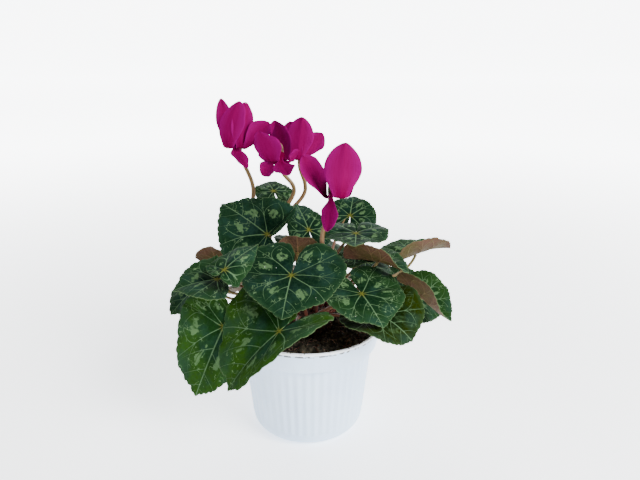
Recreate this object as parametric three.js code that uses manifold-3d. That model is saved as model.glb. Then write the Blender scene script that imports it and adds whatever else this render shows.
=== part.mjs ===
// A potted cyclamen in bloom: a ribbed plastic pot, its soil, the tuber, heart-shaped leaves on
// long stalks and four nodding blooms. Millimetres, +Z up, origin at the centre of the pot's base.
// The plant is seen from -Y, so a heading of -90 degrees points at the viewer.

import * as THREE from "three";
import { mergeVertices } from "three/addons/utils/BufferGeometryUtils.js";
import Module from "manifold-3d";

const wasm = await Module();
wasm.setup();

const POT_HEIGHT = 93;
const POT_COLUMNS = 48;
const POT_RIBS = 48;
const RIB_DEPTH = 0.7;
const RIB_FADE = 2.5;
const WALL = 1.5;
const RIM_RADIUS = 61;
const COLLAR_HEIGHT = 18;
const COLLAR_RADIUS = 57.5;
const LIP_HEIGHT = 2;
const LIP_STEP = 1;
const BODY_TOP_RADIUS = 53;
const BODY_BOTTOM_RADIUS = 46.3;
const BOTTOM_FILLET = 10.7;
const DRAIN_HOLES = 6;
const DRAIN_RADIUS = 4;
const DRAIN_CIRCLE = 25;

const SOIL_LEVEL = 88;
const SOIL_RADIUS = 56.8;
const SOIL_LUMP = 1.4;
const SOIL_COLUMNS = 24;
const GAP = 0.3;

const TUBER_RADIUS = 22;
const TUBER_HALF_HEIGHT = 11;
const TUBER_CENTRE = 91;
const STEM_ROOTS = 5;
const STEM_RISE = 12;
const INNER_ROOTS = 11.5;
const OUTER_ROOTS = 17.5;
const INNER_LEAF_REACH = 45;

const BLADE_THICKNESS = 0.8;
const TOOTH_DEPTH = 0.03;
const SINUS_HALF_ANGLE = 4;
const TIP_SPREAD = 16;
const MARGIN_WAVES = 5;
const FOLD_RADIUS = 7;
const FINE_COLUMNS = 18;
const FINE_RINGS = [0.38, 0.72];
const COARSE_COLUMNS = 12;
const COARSE_RINGS = [0.55];
const STALK_RADIUS = 1.3;
const STALK_SIDES = 5;
const STALK_STEPS = 6;
const STALK_SLANT = 0.5;
const STALK_RISE = 0.4;
const STALK_ARRIVAL = 0.35;
const STALK_EASING = 0.7;
const CLEARANCE = 0.45;

const PETAL_THICKNESS = 0.8;
const PETAL_TURN = 9;
const PETAL_ROOT = 1.5;
const TUBE_LENGTH = 8;
const TUBE_WALL = 1;
const TUBE_TAPER = 0.2;
const MOUTH_RADIUS = 5.2;
const TUBE_END_RADIUS = 3.6;
const TUBE_SIDES = 8;
const CALYX_LENGTH = 2.4;
const CALYX_RADIUS = 4.4;
const STEM_RADIUS = 1.9;
const STEM_SIDES = 6;
const STEM_STEPS = 16;
const KNEE_REACH = 0.7;
const KNEE_HEIGHT = 0.45;

const degrees = THREE.MathUtils.degToRad;

// A seeded random stream, so that the plant comes out the same each time.
function randomStream(seed) {
  let state = seed;
  return () => {
    state = (state * 48271) % 2147483647;
    return state / 2147483647;
  };
}

// Closed meshes to solids and back

function toSolid(geometry) {
  const bare = geometry.clone();
  bare.deleteAttribute("normal");
  bare.deleteAttribute("uv");
  const merged = mergeVertices(bare, 1e-4);
  const mesh = new wasm.Mesh({
    numProp: 3,
    vertProperties: new Float32Array(merged.attributes.position.array),
    triVerts: new Uint32Array(merged.index.array),
  });
  return new wasm.Manifold(mesh);
}

function fromSolid(solid) {
  const mesh = solid.getMesh();
  return indexedGeometry(mesh.vertProperties, mesh.triVerts);
}

function indexedGeometry(positions, indices) {
  const geometry = new THREE.BufferGeometry();
  geometry.setAttribute("position", new THREE.BufferAttribute(new Float32Array(positions), 3));
  geometry.setIndex(new THREE.BufferAttribute(new Uint32Array(indices), 1));
  geometry.computeVertexNormals();
  return geometry;
}

function named(name, geometry, material) {
  const mesh = new THREE.Mesh(geometry, material);
  mesh.name = name;
  return mesh;
}

// Sheets: a smooth surface given two faces, a thickness and a closed edge

// The normal of a surface given by point(a, b), from small steps each way.
function surfaceNormal(point, a, b) {
  const step = 0.01;
  const alongA = point(a + step, b).sub(point(a - step, b));
  const alongB = point(a, b + step).sub(point(a, b - step));
  return alongA.cross(alongB).normalize();
}

// Both faces carry the same triangles; the border is the ring of edges around them.
function sheetGeometry(point, places, triangles, border, thickness) {
  const faces = [[], []];
  for (const [a, b] of places) {
    const middle = point(a, b);
    const shift = surfaceNormal(point, a, b).multiplyScalar(thickness / 2);
    faces[0].push(...middle.clone().add(shift));
    faces[1].push(...middle.clone().sub(shift));
  }
  const count = places.length;
  const indices = [];
  for (const [i, j, k] of triangles) {
    indices.push(i, j, k);
    indices.push(i + count, k + count, j + count);
  }
  border.forEach((here, index) => {
    const next = border[(index + 1) % border.length];
    indices.push(here, here + count, next);
    indices.push(next, here + count, next + count);
  });
  return indexedGeometry([...faces[0], ...faces[1]], indices);
}

// Leaves

// Half outline of a heart-shaped blade of unit length: the angle from the tip at the stalk's
// junction, in degrees, and the distance from the junction to the margin.
const OUTLINE = [
  [0, 1.0],
  [14, 0.88],
  [32, 0.83],
  [60, 0.83],
  [90, 0.87],
  [118, 0.94],
  [142, 0.95],
  [160, 0.91],
  [170, 0.8],
  [176, 0.58],
];

// A smooth curve through the outline's points.
function marginDistance(angle) {
  const turn = Math.min(THREE.MathUtils.radToDeg(Math.abs(angle)), OUTLINE.at(-1)[0]);
  const last = OUTLINE.length - 1;
  let i = 0;
  while (i < last - 1 && turn > OUTLINE[i + 1][0]) i += 1;
  const t = (turn - OUTLINE[i][0]) / (OUTLINE[i + 1][0] - OUTLINE[i][0]);
  const before = OUTLINE[Math.max(i - 1, 0)][1];
  const after = OUTLINE[Math.min(i + 2, last)][1];
  const from = OUTLINE[i][1];
  const to = OUTLINE[i + 1][1];
  const bend = 2 * before - 5 * from + 4 * to - after;
  const twist = 3 * from - before - 3 * to + after;
  return 0.5 * (2 * from + (to - before) * t + bend * t ** 2 + twist * t ** 3);
}

// The point of a blade at flat distances along and across its midrib, in real position.
// The halves fold up by their own angles beside the midrib and curl further out; the midrib
// droops towards the tip, and the lobes behind the junction droop by an angle of their own.
function bladePoint(leaf, along, across) {
  const steps = 6;
  const side = Math.abs(across);
  const [fold, curl] = across > 0 ? leaf.left : leaf.right;
  let out = 0;
  let up = 0;
  for (let i = 0; i < steps; i += 1) {
    const reach = (side * (i + 0.5)) / steps;
    const folded = fold * (1 - Math.exp(-reach / FOLD_RADIUS));
    const angle = degrees(folded + (curl * reach) / leaf.length);
    out += (Math.cos(angle) * side) / steps;
    up += (Math.sin(angle) * side) / steps;
  }
  const radius = Math.hypot(along, across) / leaf.length;
  const turn = Math.atan2(across, along);
  up += leaf.wave * radius ** 2 * Math.sin(MARGIN_WAVES * turn + leaf.heading);
  const bend = degrees(along > 0 ? leaf.droop : leaf.lobes) / leaf.length || 1e-6;
  const angle = bend * along;
  const x = Math.sin(angle) / bend + up * Math.sin(angle);
  const z = -(1 - Math.cos(angle)) / bend + up * Math.cos(angle);
  return leaf.at
    .clone()
    .addScaledVector(leaf.midrib, x)
    .addScaledVector(leaf.leftward, Math.sign(across) * out)
    .addScaledVector(leaf.upward, z);
}

// The direction that lies at an angle from one direction towards another one square to it.
function turned(from, towards, angle) {
  return from.clone().multiplyScalar(Math.cos(angle)).addScaledVector(towards, Math.sin(angle));
}

// The frame of a blade: the way its midrib, its left side and its upper face point.
function orient(leaf) {
  const heading = degrees(leaf.heading);
  const pitch = degrees(leaf.pitch);
  const roll = degrees(leaf.roll);
  const ahead = new THREE.Vector3(Math.cos(heading), Math.sin(heading), 0);
  leaf.at = new THREE.Vector3(...leaf.at);
  leaf.midrib = ahead.clone().multiplyScalar(Math.cos(pitch));
  leaf.midrib.z = -Math.sin(pitch);
  const level = ahead.clone().multiplyScalar(Math.sin(pitch));
  level.z = Math.cos(pitch);
  const leftward = level.clone().cross(leaf.midrib);
  leaf.leftward = turned(leftward, level, roll);
  leaf.upward = turned(level, leftward, -roll);
  return leaf;
}

// Places of a blade's vertices on rings around the junction. The margin has twice the columns
// of the inner rings, and every second one of them is a notch between two teeth.
function bladeGrid(leaf) {
  const columns = leaf.fine ? FINE_COLUMNS : COARSE_COLUMNS;
  const rings = leaf.fine ? FINE_RINGS : COARSE_RINGS;
  const places = [[0, 0]];
  const rows = [];
  const addRow = (count, reach, tooth) => {
    const row = [];
    for (let k = 0; k < count; k += 1) {
      const turn = degrees(180 - SINUS_HALF_ANGLE) * ((2 * k) / (count - 1) - 1);
      const notch = k % 2 === 1 ? 1 - tooth : 1;
      const bluntness = leaf.blunt * Math.exp(-((turn / degrees(TIP_SPREAD)) ** 2));
      const radius = marginDistance(turn) * (1 - bluntness) * leaf.length * reach * notch;
      const side = turn > 0 ? leaf.leftHalf : leaf.rightHalf;
      row.push(places.length);
      const lobe = Math.cos(turn) < 0 ? side[1] : 1;
      places.push([radius * Math.cos(turn) * lobe, radius * Math.sin(turn) * side[0]]);
    }
    rows.push(row);
  };
  rings.forEach((reach) => addRow(columns, reach, 0));
  addRow(2 * columns - 1, 1, TOOTH_DEPTH);

  const triangles = [];
  const first = rows[0];
  for (let k = 0; k < columns - 1; k += 1) {
    triangles.push([0, first[k], first[k + 1]]);
    for (let r = 1; r < rings.length; r += 1) {
      const [inner, outer] = [rows[r - 1], rows[r]];
      triangles.push([inner[k], outer[k], outer[k + 1]], [inner[k], outer[k + 1], inner[k + 1]]);
    }
    const inner = rows[rings.length - 1];
    const margin = rows[rings.length];
    triangles.push(
      [inner[k], margin[2 * k], margin[2 * k + 1]],
      [inner[k], margin[2 * k + 1], inner[k + 1]],
      [inner[k + 1], margin[2 * k + 1], margin[2 * k + 2]],
    );
  }
  const innerRows = rows.slice(0, -1);
  const border = [0, ...innerRows.map((row) => row[0]), ...rows.at(-1)];
  border.push(...innerRows.reverse().map((row) => row.at(-1)));
  return { places, triangles, border };
}

function bladeGeometry(leaf, grid) {
  const point = (along, across) => bladePoint(leaf, along, across);
  return sheetGeometry(point, grid.places, grid.triangles, grid.border, BLADE_THICKNESS);
}

// Stalks and stems

function polygon(sides, radius) {
  const points = [];
  for (let k = 0; k < sides; k += 1) {
    const turn = (2 * Math.PI * k) / sides;
    points.push(new THREE.Vector2(radius * Math.cos(turn), radius * Math.sin(turn)));
  }
  return new THREE.Shape(points);
}

function rod(path, radius, sides, steps) {
  return new THREE.ExtrudeGeometry(polygon(sides, radius), {
    steps,
    bevelEnabled: false,
    extrudePath: path,
  });
}

// A point of the tuber's crown and the way out of it, at a turn around the axis and a distance
// from it, as far above the skin as the gap that touching pieces keep.
function crownPoint(turn, distance) {
  const angle = degrees(turn);
  const rise = Math.sqrt(1 - (distance / TUBER_RADIUS) ** 2);
  const place = new THREE.Vector3(
    distance * Math.cos(angle),
    distance * Math.sin(angle),
    TUBER_CENTRE + TUBER_HALF_HEIGHT * rise,
  );
  const out = new THREE.Vector3(
    place.x / TUBER_RADIUS ** 2,
    place.y / TUBER_RADIUS ** 2,
    (place.z - TUBER_CENTRE) / TUBER_HALF_HEIGHT ** 2,
  ).normalize();
  return { place: place.addScaledVector(out, GAP), out };
}

// The start of a rod that leaves a root slantwise, raised so that its end clears the skin.
function aboveCrown(root, next, radius) {
  const slant = next.clone().sub(root.place).normalize().cross(root.out).length();
  return root.place.clone().addScaledVector(root.out, radius * slant);
}

// Side bends and lifts that a stalk or stem may take, the gentlest first.
const BENDS = [0, 5, -5, 10, -10, 15, -15, 20, -20, 26, -26, 32, -32, 40, -40];
const LIFTS = [0, 9, -9, 18, 27];

// A stalk leaves the crown square to it and comes up to its blade from below and behind.
function stalkPath(leaf, bend, lift) {
  const root = crownPoint(leaf.rootTurn, leaf.rootDistance);
  const end = leaf.at.clone().addScaledVector(leaf.midrib, STALK_RADIUS);
  const reach = root.place.distanceTo(end);
  const arrive = leaf.upward.clone().addScaledVector(leaf.midrib, STALK_SLANT).normalize();
  const sideways = end.clone().sub(root.place).cross(new THREE.Vector3(0, 0, 1)).normalize();
  const rise = root.place.clone().addScaledVector(root.out, STALK_RISE * reach);
  const near = end.clone().addScaledVector(arrive, -STALK_ARRIVAL * reach);
  rise.addScaledVector(sideways, bend);
  near.addScaledVector(sideways, STALK_EASING * bend);
  rise.z += lift;
  near.z += lift;
  const start = aboveCrown(root, rise, STALK_RADIUS);
  return new THREE.CubicBezierCurve3(start, rise, near, end);
}

// Everything that a stalk must stay clear of: blades as triangles, rods as points with a radius.
const blades = [];
const rods = [];

function registerBlade(leaf, grid) {
  const corners = grid.places.map(([along, across]) => bladePoint(leaf, along, across));
  const sphere = new THREE.Sphere().setFromPoints(corners);
  const triangles = grid.triangles.map((corner) => {
    return new THREE.Triangle(...corner.map((number) => corners[number]));
  });
  blades.push({ owner: leaf, sphere, triangles });
}

// How far a point is above the soil, or from the rim where it is near or outside it.
function potClearance(point) {
  const reach = Math.hypot(point.x, point.y);
  if (reach < SOIL_RADIUS - 2) return point.z - SOIL_LEVEL - SOIL_LUMP;
  if (point.z < POT_HEIGHT) return reach - RIM_RADIUS;
  return Math.hypot(Math.max(reach - RIM_RADIUS, 0), point.z - POT_HEIGHT);
}

function clearanceOf(points, radius, owner) {
  const nearest = new THREE.Vector3();
  let least = Infinity;
  for (const point of points) {
    for (const blade of blades) {
      if (blade.owner === owner) continue;
      if (blade.sphere.distanceToPoint(point) > 6) continue;
      for (const triangle of blade.triangles) {
        triangle.closestPointToPoint(point, nearest);
        least = Math.min(least, nearest.distanceTo(point) - radius - BLADE_THICKNESS / 2);
      }
    }
    for (const rod of rods) {
      least = Math.min(least, rod.point.distanceTo(point) - radius - rod.radius);
    }
    least = Math.min(least, potClearance(point) - radius);
  }
  return least;
}

// Takes the first way that is clear of everything so far, or else the clearest one.
function clearestWay(ways, radius, owner) {
  let best = null;
  for (const way of ways) {
    const points = way.getPoints(60);
    const clearance = clearanceOf(points, radius, owner);
    if (!best || clearance > best.clearance) best = { way, points, clearance };
    if (clearance >= CLEARANCE) break;
  }
  best.points.forEach((point) => rods.push({ point, radius }));
  return best;
}

function waysOf(path) {
  return LIFTS.flatMap((lift) => BENDS.map((bend) => path(bend, lift)));
}

// Leaves that show from the front, then those that finish the plant behind them. at is the
// junction of blade and stalk, angles are in degrees, length is from the junction to the tip.
// leftHalf and rightHalf stretch a half's width and its lobe; left and right fold and curl it.
const LEAF_FORM = {
  roll: 0, width: 1, lobeLength: 1, left: [8, -15], right: [8, -15],
  droop: 18, lobes: 15, wave: 1, blunt: 0.03,
};

const FRONT_LEAVES = [
  { at: [-10, -46, 149], heading: -101, pitch: 26, length: 37, width: 1.2, lobes: -8, fine: true },
  {
    at: [-18, -70, 116.5], heading: -161, pitch: 34, roll: -8, length: 63, blunt: 0.1,
    leftHalf: [0.48, 0.73], rightHalf: [0.98, 0.4], left: [13, 7], right: [20, -4],
    droop: 32, lobes: 60, fine: true,
  },
  {
    at: [-62, -40, 105], heading: -150, pitch: 61, roll: -44, length: 69, blunt: 0.1,
    leftHalf: [0.47, 0.27], rightHalf: [0.6, 0.35], left: [-3, -6], right: [0, 6],
    droop: 22, lobes: 20, fine: true,
  },
  {
    at: [-65, -39, 143], heading: -165, pitch: 0, roll: -8,
    length: 34, width: 0.85, lobeLength: 0.25, left: [0, -10], right: [25, -10], fine: true,
  },
  { at: [-86, 6, 121], heading: -147, pitch: 28, length: 37, lobeLength: 0.6 },
  {
    at: [-32, 14, 160], heading: 158, pitch: -33, roll: -27,
    length: 50, leftHalf: [0.95, 0.4], rightHalf: [0.85, 0.12],
    left: [-10, -30], right: [4, 0], lobes: 50, fine: true,
  },
  {
    at: [-57, -53, 156], heading: 50, pitch: -25,
    length: 36, width: 0.5, lobeLength: 0.25, left: [5, -10], right: [-60, -40],
  },
  { at: [1, 38, 156], heading: 112, pitch: -36, length: 36, width: 0.6, lobeLength: 0.6, fine: true },
  {
    at: [-7, -5, 151], heading: -90, pitch: -85,
    length: 18, width: 1.45, lobeLength: 0.6, lobes: 20, wave: 2.5,
  },
  { at: [-31, 77, 180], heading: 110, pitch: -20, length: 22, width: 0.9 },
  { at: [37, 60, 162], heading: 80, pitch: -38, length: 27, lobeLength: 0.85 },
  { at: [38, -13, 170], heading: -95, pitch: 12, droop: -20, length: 25, width: 1.15, fine: true },
  { at: [39, 4, 145], heading: -150, pitch: 10, length: 20 },
  { at: [54, -14, 148], heading: -31, pitch: 0, length: 28, left: [5, 0], right: [70, 0], fine: true },
  {
    at: [90, 26, 140], heading: 24, pitch: -10,
    length: 36, width: 0.9, left: [8, -5], right: [30, 60], fine: true,
  },
  {
    at: [41, -45, 134], heading: -60, pitch: 20,
    length: 33, leftHalf: [1.25, 1], rightHalf: [1.05, 0.85], lobes: 0, fine: true,
  },
  {
    at: [55, -46, 117], heading: -43, pitch: 2, roll: 12, length: 36, blunt: 0.14,
    leftHalf: [1.2, 0.9], rightHalf: [0.96, 0.83], left: [13, -9], right: [20, -7],
    droop: 55, lobes: 20, fine: true,
  },
  {
    at: [93, -7, 115], heading: -35, pitch: 40, roll: 9, length: 31,
    leftHalf: [0.85, 0.8], rightHalf: [1.08, 0.8], left: [18, 18], right: [86, -17],
    droop: -24, lobes: 63, fine: true,
  },
  { at: [-76, 24, 134], heading: -110, pitch: -70, length: 18, width: 1.3, lobeLength: 0.25 },
];

// The leaves out of the viewer's sight stand in rings: each ring has a height, a distance from
// the axis, a first and last turn around it, and a pitch.
const BACK_RINGS = [
  { count: 6, first: 14, last: 150, distance: 84, height: 102, pitch: 28, length: 38, lobeLength: 0.8 },
  { count: 3, first: 28, last: 98, distance: 54, height: 134, pitch: 10, length: 30, lobeLength: 0.8 },
];
const SHINGLE_ROLL = 20;

function completeLeaf(row) {
  const leaf = { ...LEAF_FORM, ...row };
  leaf.leftHalf ??= [leaf.width, leaf.lobeLength];
  leaf.rightHalf ??= [leaf.width, leaf.lobeLength];
  return orient(leaf);
}

function backLeaves() {
  const random = randomStream(20251);
  const about = (size) => size * (2 * random() - 1);
  return BACK_RINGS.flatMap((row) => {
    const step = (row.last - row.first) / (row.count - 1);
    return [...Array(row.count).keys()].map((k) => {
      const turn = row.first + step * k + about(3);
      const distance = row.distance + about(4);
      const height = row.height + about(3);
      const at = [distance * Math.cos(degrees(turn)), distance * Math.sin(degrees(turn)), height];
      const heading = turn + about(14);
      const pitch = row.pitch + about(6);
      const length = row.length + about(3);
      const roll = SHINGLE_ROLL + about(3);
      return { at, heading, pitch, length, roll, lobeLength: row.lobeLength };
    });
  });
}

const leaves = [...FRONT_LEAVES, ...backLeaves()].map(completeLeaf);

// Roots on the crown lie in the same order around it as the junctions do: the leaves near the
// axis on an inner circle, the others on an outer one.
function placeRoots(circle, distance) {
  const turnOf = (leaf) => Math.atan2(leaf.at.y, leaf.at.x);
  const ordered = [...circle].sort((a, b) => turnOf(a) - turnOf(b));
  const even = (index) => (2 * Math.PI * index) / ordered.length - Math.PI;
  const offsets = ordered.map((leaf, index) => turnOf(leaf) - even(index));
  const offset = offsets.reduce((sum, value) => sum + value, 0) / ordered.length;
  ordered.forEach((leaf, index) => {
    leaf.rootTurn = THREE.MathUtils.radToDeg(even(index) + offset);
    leaf.rootDistance = distance;
  });
}

const isInner = (leaf) => Math.hypot(leaf.at.x, leaf.at.y) < INNER_LEAF_REACH;
placeRoots(leaves.filter(isInner), INNER_ROOTS);
placeRoots(leaves.filter((leaf) => !isInner(leaf)), OUTER_ROOTS);

// Blooms

// The way a bloom's mouth faces, from how far it leans from straight down towards a heading.
function bloomFrame(bloom) {
  const heading = degrees(bloom.heading);
  const lean = degrees(bloom.lean);
  const ahead = new THREE.Vector3(Math.cos(heading), Math.sin(heading), 0);
  const axis = turned(new THREE.Vector3(0, 0, -1), ahead, lean);
  const side = new THREE.Vector3(-Math.sin(heading), Math.cos(heading), 0);
  const front = side.clone().cross(axis);
  return { mouth: new THREE.Vector3(...bloom.mouth), axis, side, front };
}

// A point of a petal: it leaves the mouth's ring along the axis and turns away from it by its
// reflex angle, so that a petal of 170 degrees points back past the stem and one of 20 hangs.
function petalPoint(frame, petal, along, across) {
  const turn = degrees(petal.turn);
  const reflex = degrees(petal.reflex);
  const twist = degrees(petal.twist) * along;
  const radial = turned(frame.front, frame.side, turn);
  const tangent = frame.axis.clone().cross(radial);
  const steps = 12;
  const length = along * petal.length;
  let down = -PETAL_ROOT;
  let out = MOUTH_RADIUS - TUBE_WALL / 2;
  let angle = 0;
  for (let i = 0; i < steps; i += 1) {
    const reach = (length * (i + 0.5)) / steps;
    const arched = degrees(petal.arch) * (reach / petal.length);
    angle = reflex * THREE.MathUtils.smoothstep(reach, 0, PETAL_TURN) + arched;
    down += (Math.cos(angle) * length) / steps;
    out += (Math.sin(angle) * length) / steps;
  }
  const face = turned(radial, frame.axis, -angle);
  const spread = turned(tangent, face, twist);
  const lifted = turned(face, tangent, -twist);
  const half = petalHalfWidth(petal, along) * petal.width;
  return frame.mouth
    .clone()
    .addScaledVector(frame.axis, down)
    .addScaledVector(radial, out)
    .addScaledVector(spread, across * half + petal.sweep * along * along)
    .addScaledVector(lifted, petal.cup * across * across * half);
}

// Half width of a petal of unit width: narrow at its claw, widest at its shoulder, pointed tip.
function petalHalfWidth(petal, along) {
  const base = petal.claw + (1 - petal.claw) * THREE.MathUtils.smoothstep(along, 0.05, petal.shoulder);
  const past = Math.max((along - petal.shoulder) / (1 - petal.shoulder), 0);
  return base * Math.max(1 - past ** 2, 0.05) ** 0.7;
}

function petalSolid(frame, petal) {
  const rows = [0, 0.13, 0.3, 0.52, 0.75, 0.92, 1];
  const columns = [-1, 0, 1];
  const places = rows.flatMap((along) => columns.map((across) => [along, across]));
  const triangles = [];
  const at = (row, column) => row * columns.length + column;
  for (let r = 0; r < rows.length - 1; r += 1) {
    for (let c = 0; c < columns.length - 1; c += 1) {
      triangles.push([at(r, c), at(r + 1, c), at(r + 1, c + 1)]);
      triangles.push([at(r, c), at(r + 1, c + 1), at(r, c + 1)]);
    }
  }
  const lastRow = rows.length - 1;
  const border = rows.map((_, r) => at(r, 0));
  border.push(at(lastRow, 1));
  border.push(...rows.map((_, r) => at(lastRow - r, 2)));
  border.push(at(0, 1));
  const point = (along, across) => petalPoint(frame, petal, along, across);
  return toSolid(sheetGeometry(point, places, triangles, border, PETAL_THICKNESS));
}

// Turns a lathe shape, made around +Z, so that +Z runs along the bloom's axis from its mouth.
function alongAxis(frame, geometry) {
  const upright = new THREE.Quaternion().setFromUnitVectors(new THREE.Vector3(0, 0, 1), frame.axis);
  return geometry.applyQuaternion(upright).translate(...frame.mouth);
}

function lathe(profile, segments) {
  const outline = profile.map(([radius, height]) => new THREE.Vector2(radius, height));
  return new THREE.LatheGeometry(outline, segments).rotateX(Math.PI / 2);
}

// The short tube of the corolla: closed behind, open at the mouth.
function corollaTube(frame) {
  const profile = [
    [0, -TUBE_LENGTH],
    [TUBE_END_RADIUS, -TUBE_LENGTH],
    [MOUTH_RADIUS - TUBE_TAPER, -TUBE_LENGTH / 2],
    [MOUTH_RADIUS, 0],
    [MOUTH_RADIUS - TUBE_WALL, 0],
    [MOUTH_RADIUS - TUBE_TAPER - TUBE_WALL, -TUBE_LENGTH / 2],
    [TUBE_END_RADIUS - TUBE_WALL / 2, TUBE_WALL - TUBE_LENGTH],
    [0, TUBE_WALL - TUBE_LENGTH],
  ];
  return toSolid(alongAxis(frame, lathe(profile, TUBE_SIDES)));
}

function calyx(frame) {
  const back = -TUBE_LENGTH - GAP;
  const profile = [
    [0, back - CALYX_LENGTH],
    [0.4 * CALYX_RADIUS, back - CALYX_LENGTH],
    [CALYX_RADIUS, back - 0.4 * CALYX_LENGTH],
    [CALYX_RADIUS, back],
    [0, back],
  ];
  return toSolid(alongAxis(frame, lathe(profile, TUBE_SIDES)));
}

// The hook at the top of a stem: how far each point is down the bloom's axis from the mouth and
// out from that axis.
const HOOK = [
  [7, 9],
  [-5, 9],
  [-11.5, 6.3],
  [-12.8, 2.2],
  [-9.6, 0],
];

// The stem rises from the crown, passes the mouth between two petals and hooks over into the
// calyx from behind.
function stemPath(bloom, frame, bend, lift) {
  const root = crownPoint(bloom.rootTurn, bloom.rootDistance);
  const turn = degrees(bloom.stemSide);
  const beside = turned(frame.front, frame.side, turn);
  const at = (down, out) => {
    return frame.mouth.clone().addScaledVector(frame.axis, down).addScaledVector(beside, out);
  };
  const low = new THREE.Vector3(...bloom.stemLow);
  const rise = root.place.clone().addScaledVector(root.out, STEM_RISE);
  const knee = rise.clone().lerp(low, KNEE_REACH);
  knee.z = rise.z + KNEE_HEIGHT * (low.z - rise.z) + lift;
  knee.x += bend;
  const hook = HOOK.map(([down, out]) => at(down, out));
  const points = [aboveCrown(root, rise, STEM_RADIUS), rise, knee, low, ...hook];
  return new THREE.CatmullRomCurve3(points, false, "centripetal");
}

// Each petal: its turn around the mouth in degrees, its reflex, its twist and arch, how hollow its
// face is, how far its tip drifts sideways, the width of its claw and where its shoulder lies. A
// bloom's mouth is the centre of its ring, and its stem comes up by stemLow and passes at stemSide.
const PETAL_FORM = {
  length: 41, width: 12, twist: 30, cup: 0.12, arch: -8, sweep: 0, claw: 0.36, shoulder: 0.58,
};
const HANGING = { claw: 0.2, shoulder: 0.5 };
const BLOOMS = [
  {
    mouth: [-60, 48, 226], heading: -90, lean: 10,
    stemSide: 24, stemLow: [-48, 66, 186], rootTurn: 130,
    petals: [
      { turn: 90, reflex: 142, length: 36, twist: 60 },
      { ...HANGING, turn: 165, reflex: 20, length: 19, width: 7, sweep: -11 },
      { turn: 210, reflex: 173, length: 43, width: 13, twist: 0, sweep: -18 },
      { turn: 318, reflex: 171, length: 48, width: 7.5 },
      { turn: 135, reflex: 173, length: 43, width: 11.5, twist: 0 },
    ],
  },
  {
    mouth: [-23, 34, 217], heading: -90, lean: 20,
    stemSide: 15, stemLow: [-12, 60, 184], rootTurn: 215,
    petals: [
      { ...HANGING, turn: 155, reflex: 60, length: 24, width: 9, twist: -30 },
      { turn: 215, reflex: 150, length: 33, width: 14.5, twist: 10 },
      { ...HANGING, turn: 275, reflex: 50, length: 17, width: 9, twist: -60 },
      { turn: 325, reflex: 150, length: 26, width: 10 },
      { turn: 75, reflex: 150, length: 20, width: 10 },
    ],
  },
  {
    mouth: [-13, 64, 213], heading: -90, lean: 12,
    stemSide: 40, stemLow: [-3, 76, 180], rootTurn: 80,
    petals: [
      { turn: 150, reflex: 170, length: 42 },
      { turn: 222, reflex: 167, length: 40, width: 11.5, twist: 10 },
      { turn: 295, reflex: 170 },
      { turn: 350, reflex: 170 },
      { turn: 92, reflex: 148, length: 35, twist: 65 },
    ],
  },
  {
    mouth: [23, -24, 203], heading: -90, lean: 12,
    stemSide: 325.5, stemLow: [12, -18, 165], rootTurn: -45,
    petals: [
      { turn: 165, reflex: 170, length: 46, width: 13.5 },
      { ...HANGING, turn: 240, reflex: 8, length: 28, width: 8, sweep: 2 },
      { turn: 278, reflex: 156, twist: 55 },
      { turn: 12, reflex: 165 },
      { turn: 62, reflex: 165, length: 34 },
    ],
  },
];

// Pot

// Rings of points from the axis outwards and round to it again make the pot's skin; a ring
// either has as many points as the next or half or twice as many.
function ring(radius, height, columns, wave = 0) {
  const points = [];
  for (let k = 0; k < columns; k += 1) {
    const turn = (2 * Math.PI * k) / columns;
    const reach = radius + (k % 2 === 0 ? wave : -wave);
    points.push([reach * Math.cos(turn), reach * Math.sin(turn), height]);
  }
  return points;
}

function skinOfRings(rings) {
  const positions = [];
  const starts = rings.map((points) => {
    const start = positions.length / 3;
    points.forEach((point) => positions.push(...point));
    return start;
  });
  const indices = [];
  for (let r = 0; r < rings.length - 1; r += 1) {
    const [a, b] = [rings[r].length, rings[r + 1].length];
    const most = Math.max(a, b);
    for (let k = 0; k < most; k += 1) {
      const here = (count, start, step) => start + (Math.floor((step * count) / most) % count);
      const a0 = here(a, starts[r], k);
      const a1 = here(a, starts[r], k + 1);
      const b0 = here(b, starts[r + 1], k);
      const b1 = here(b, starts[r + 1], k + 1);
      if (a0 !== a1) indices.push(a0, a1, b1);
      if (b0 !== b1) indices.push(a0, b1, b0);
    }
  }
  return indexedGeometry(positions, indices);
}

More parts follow.
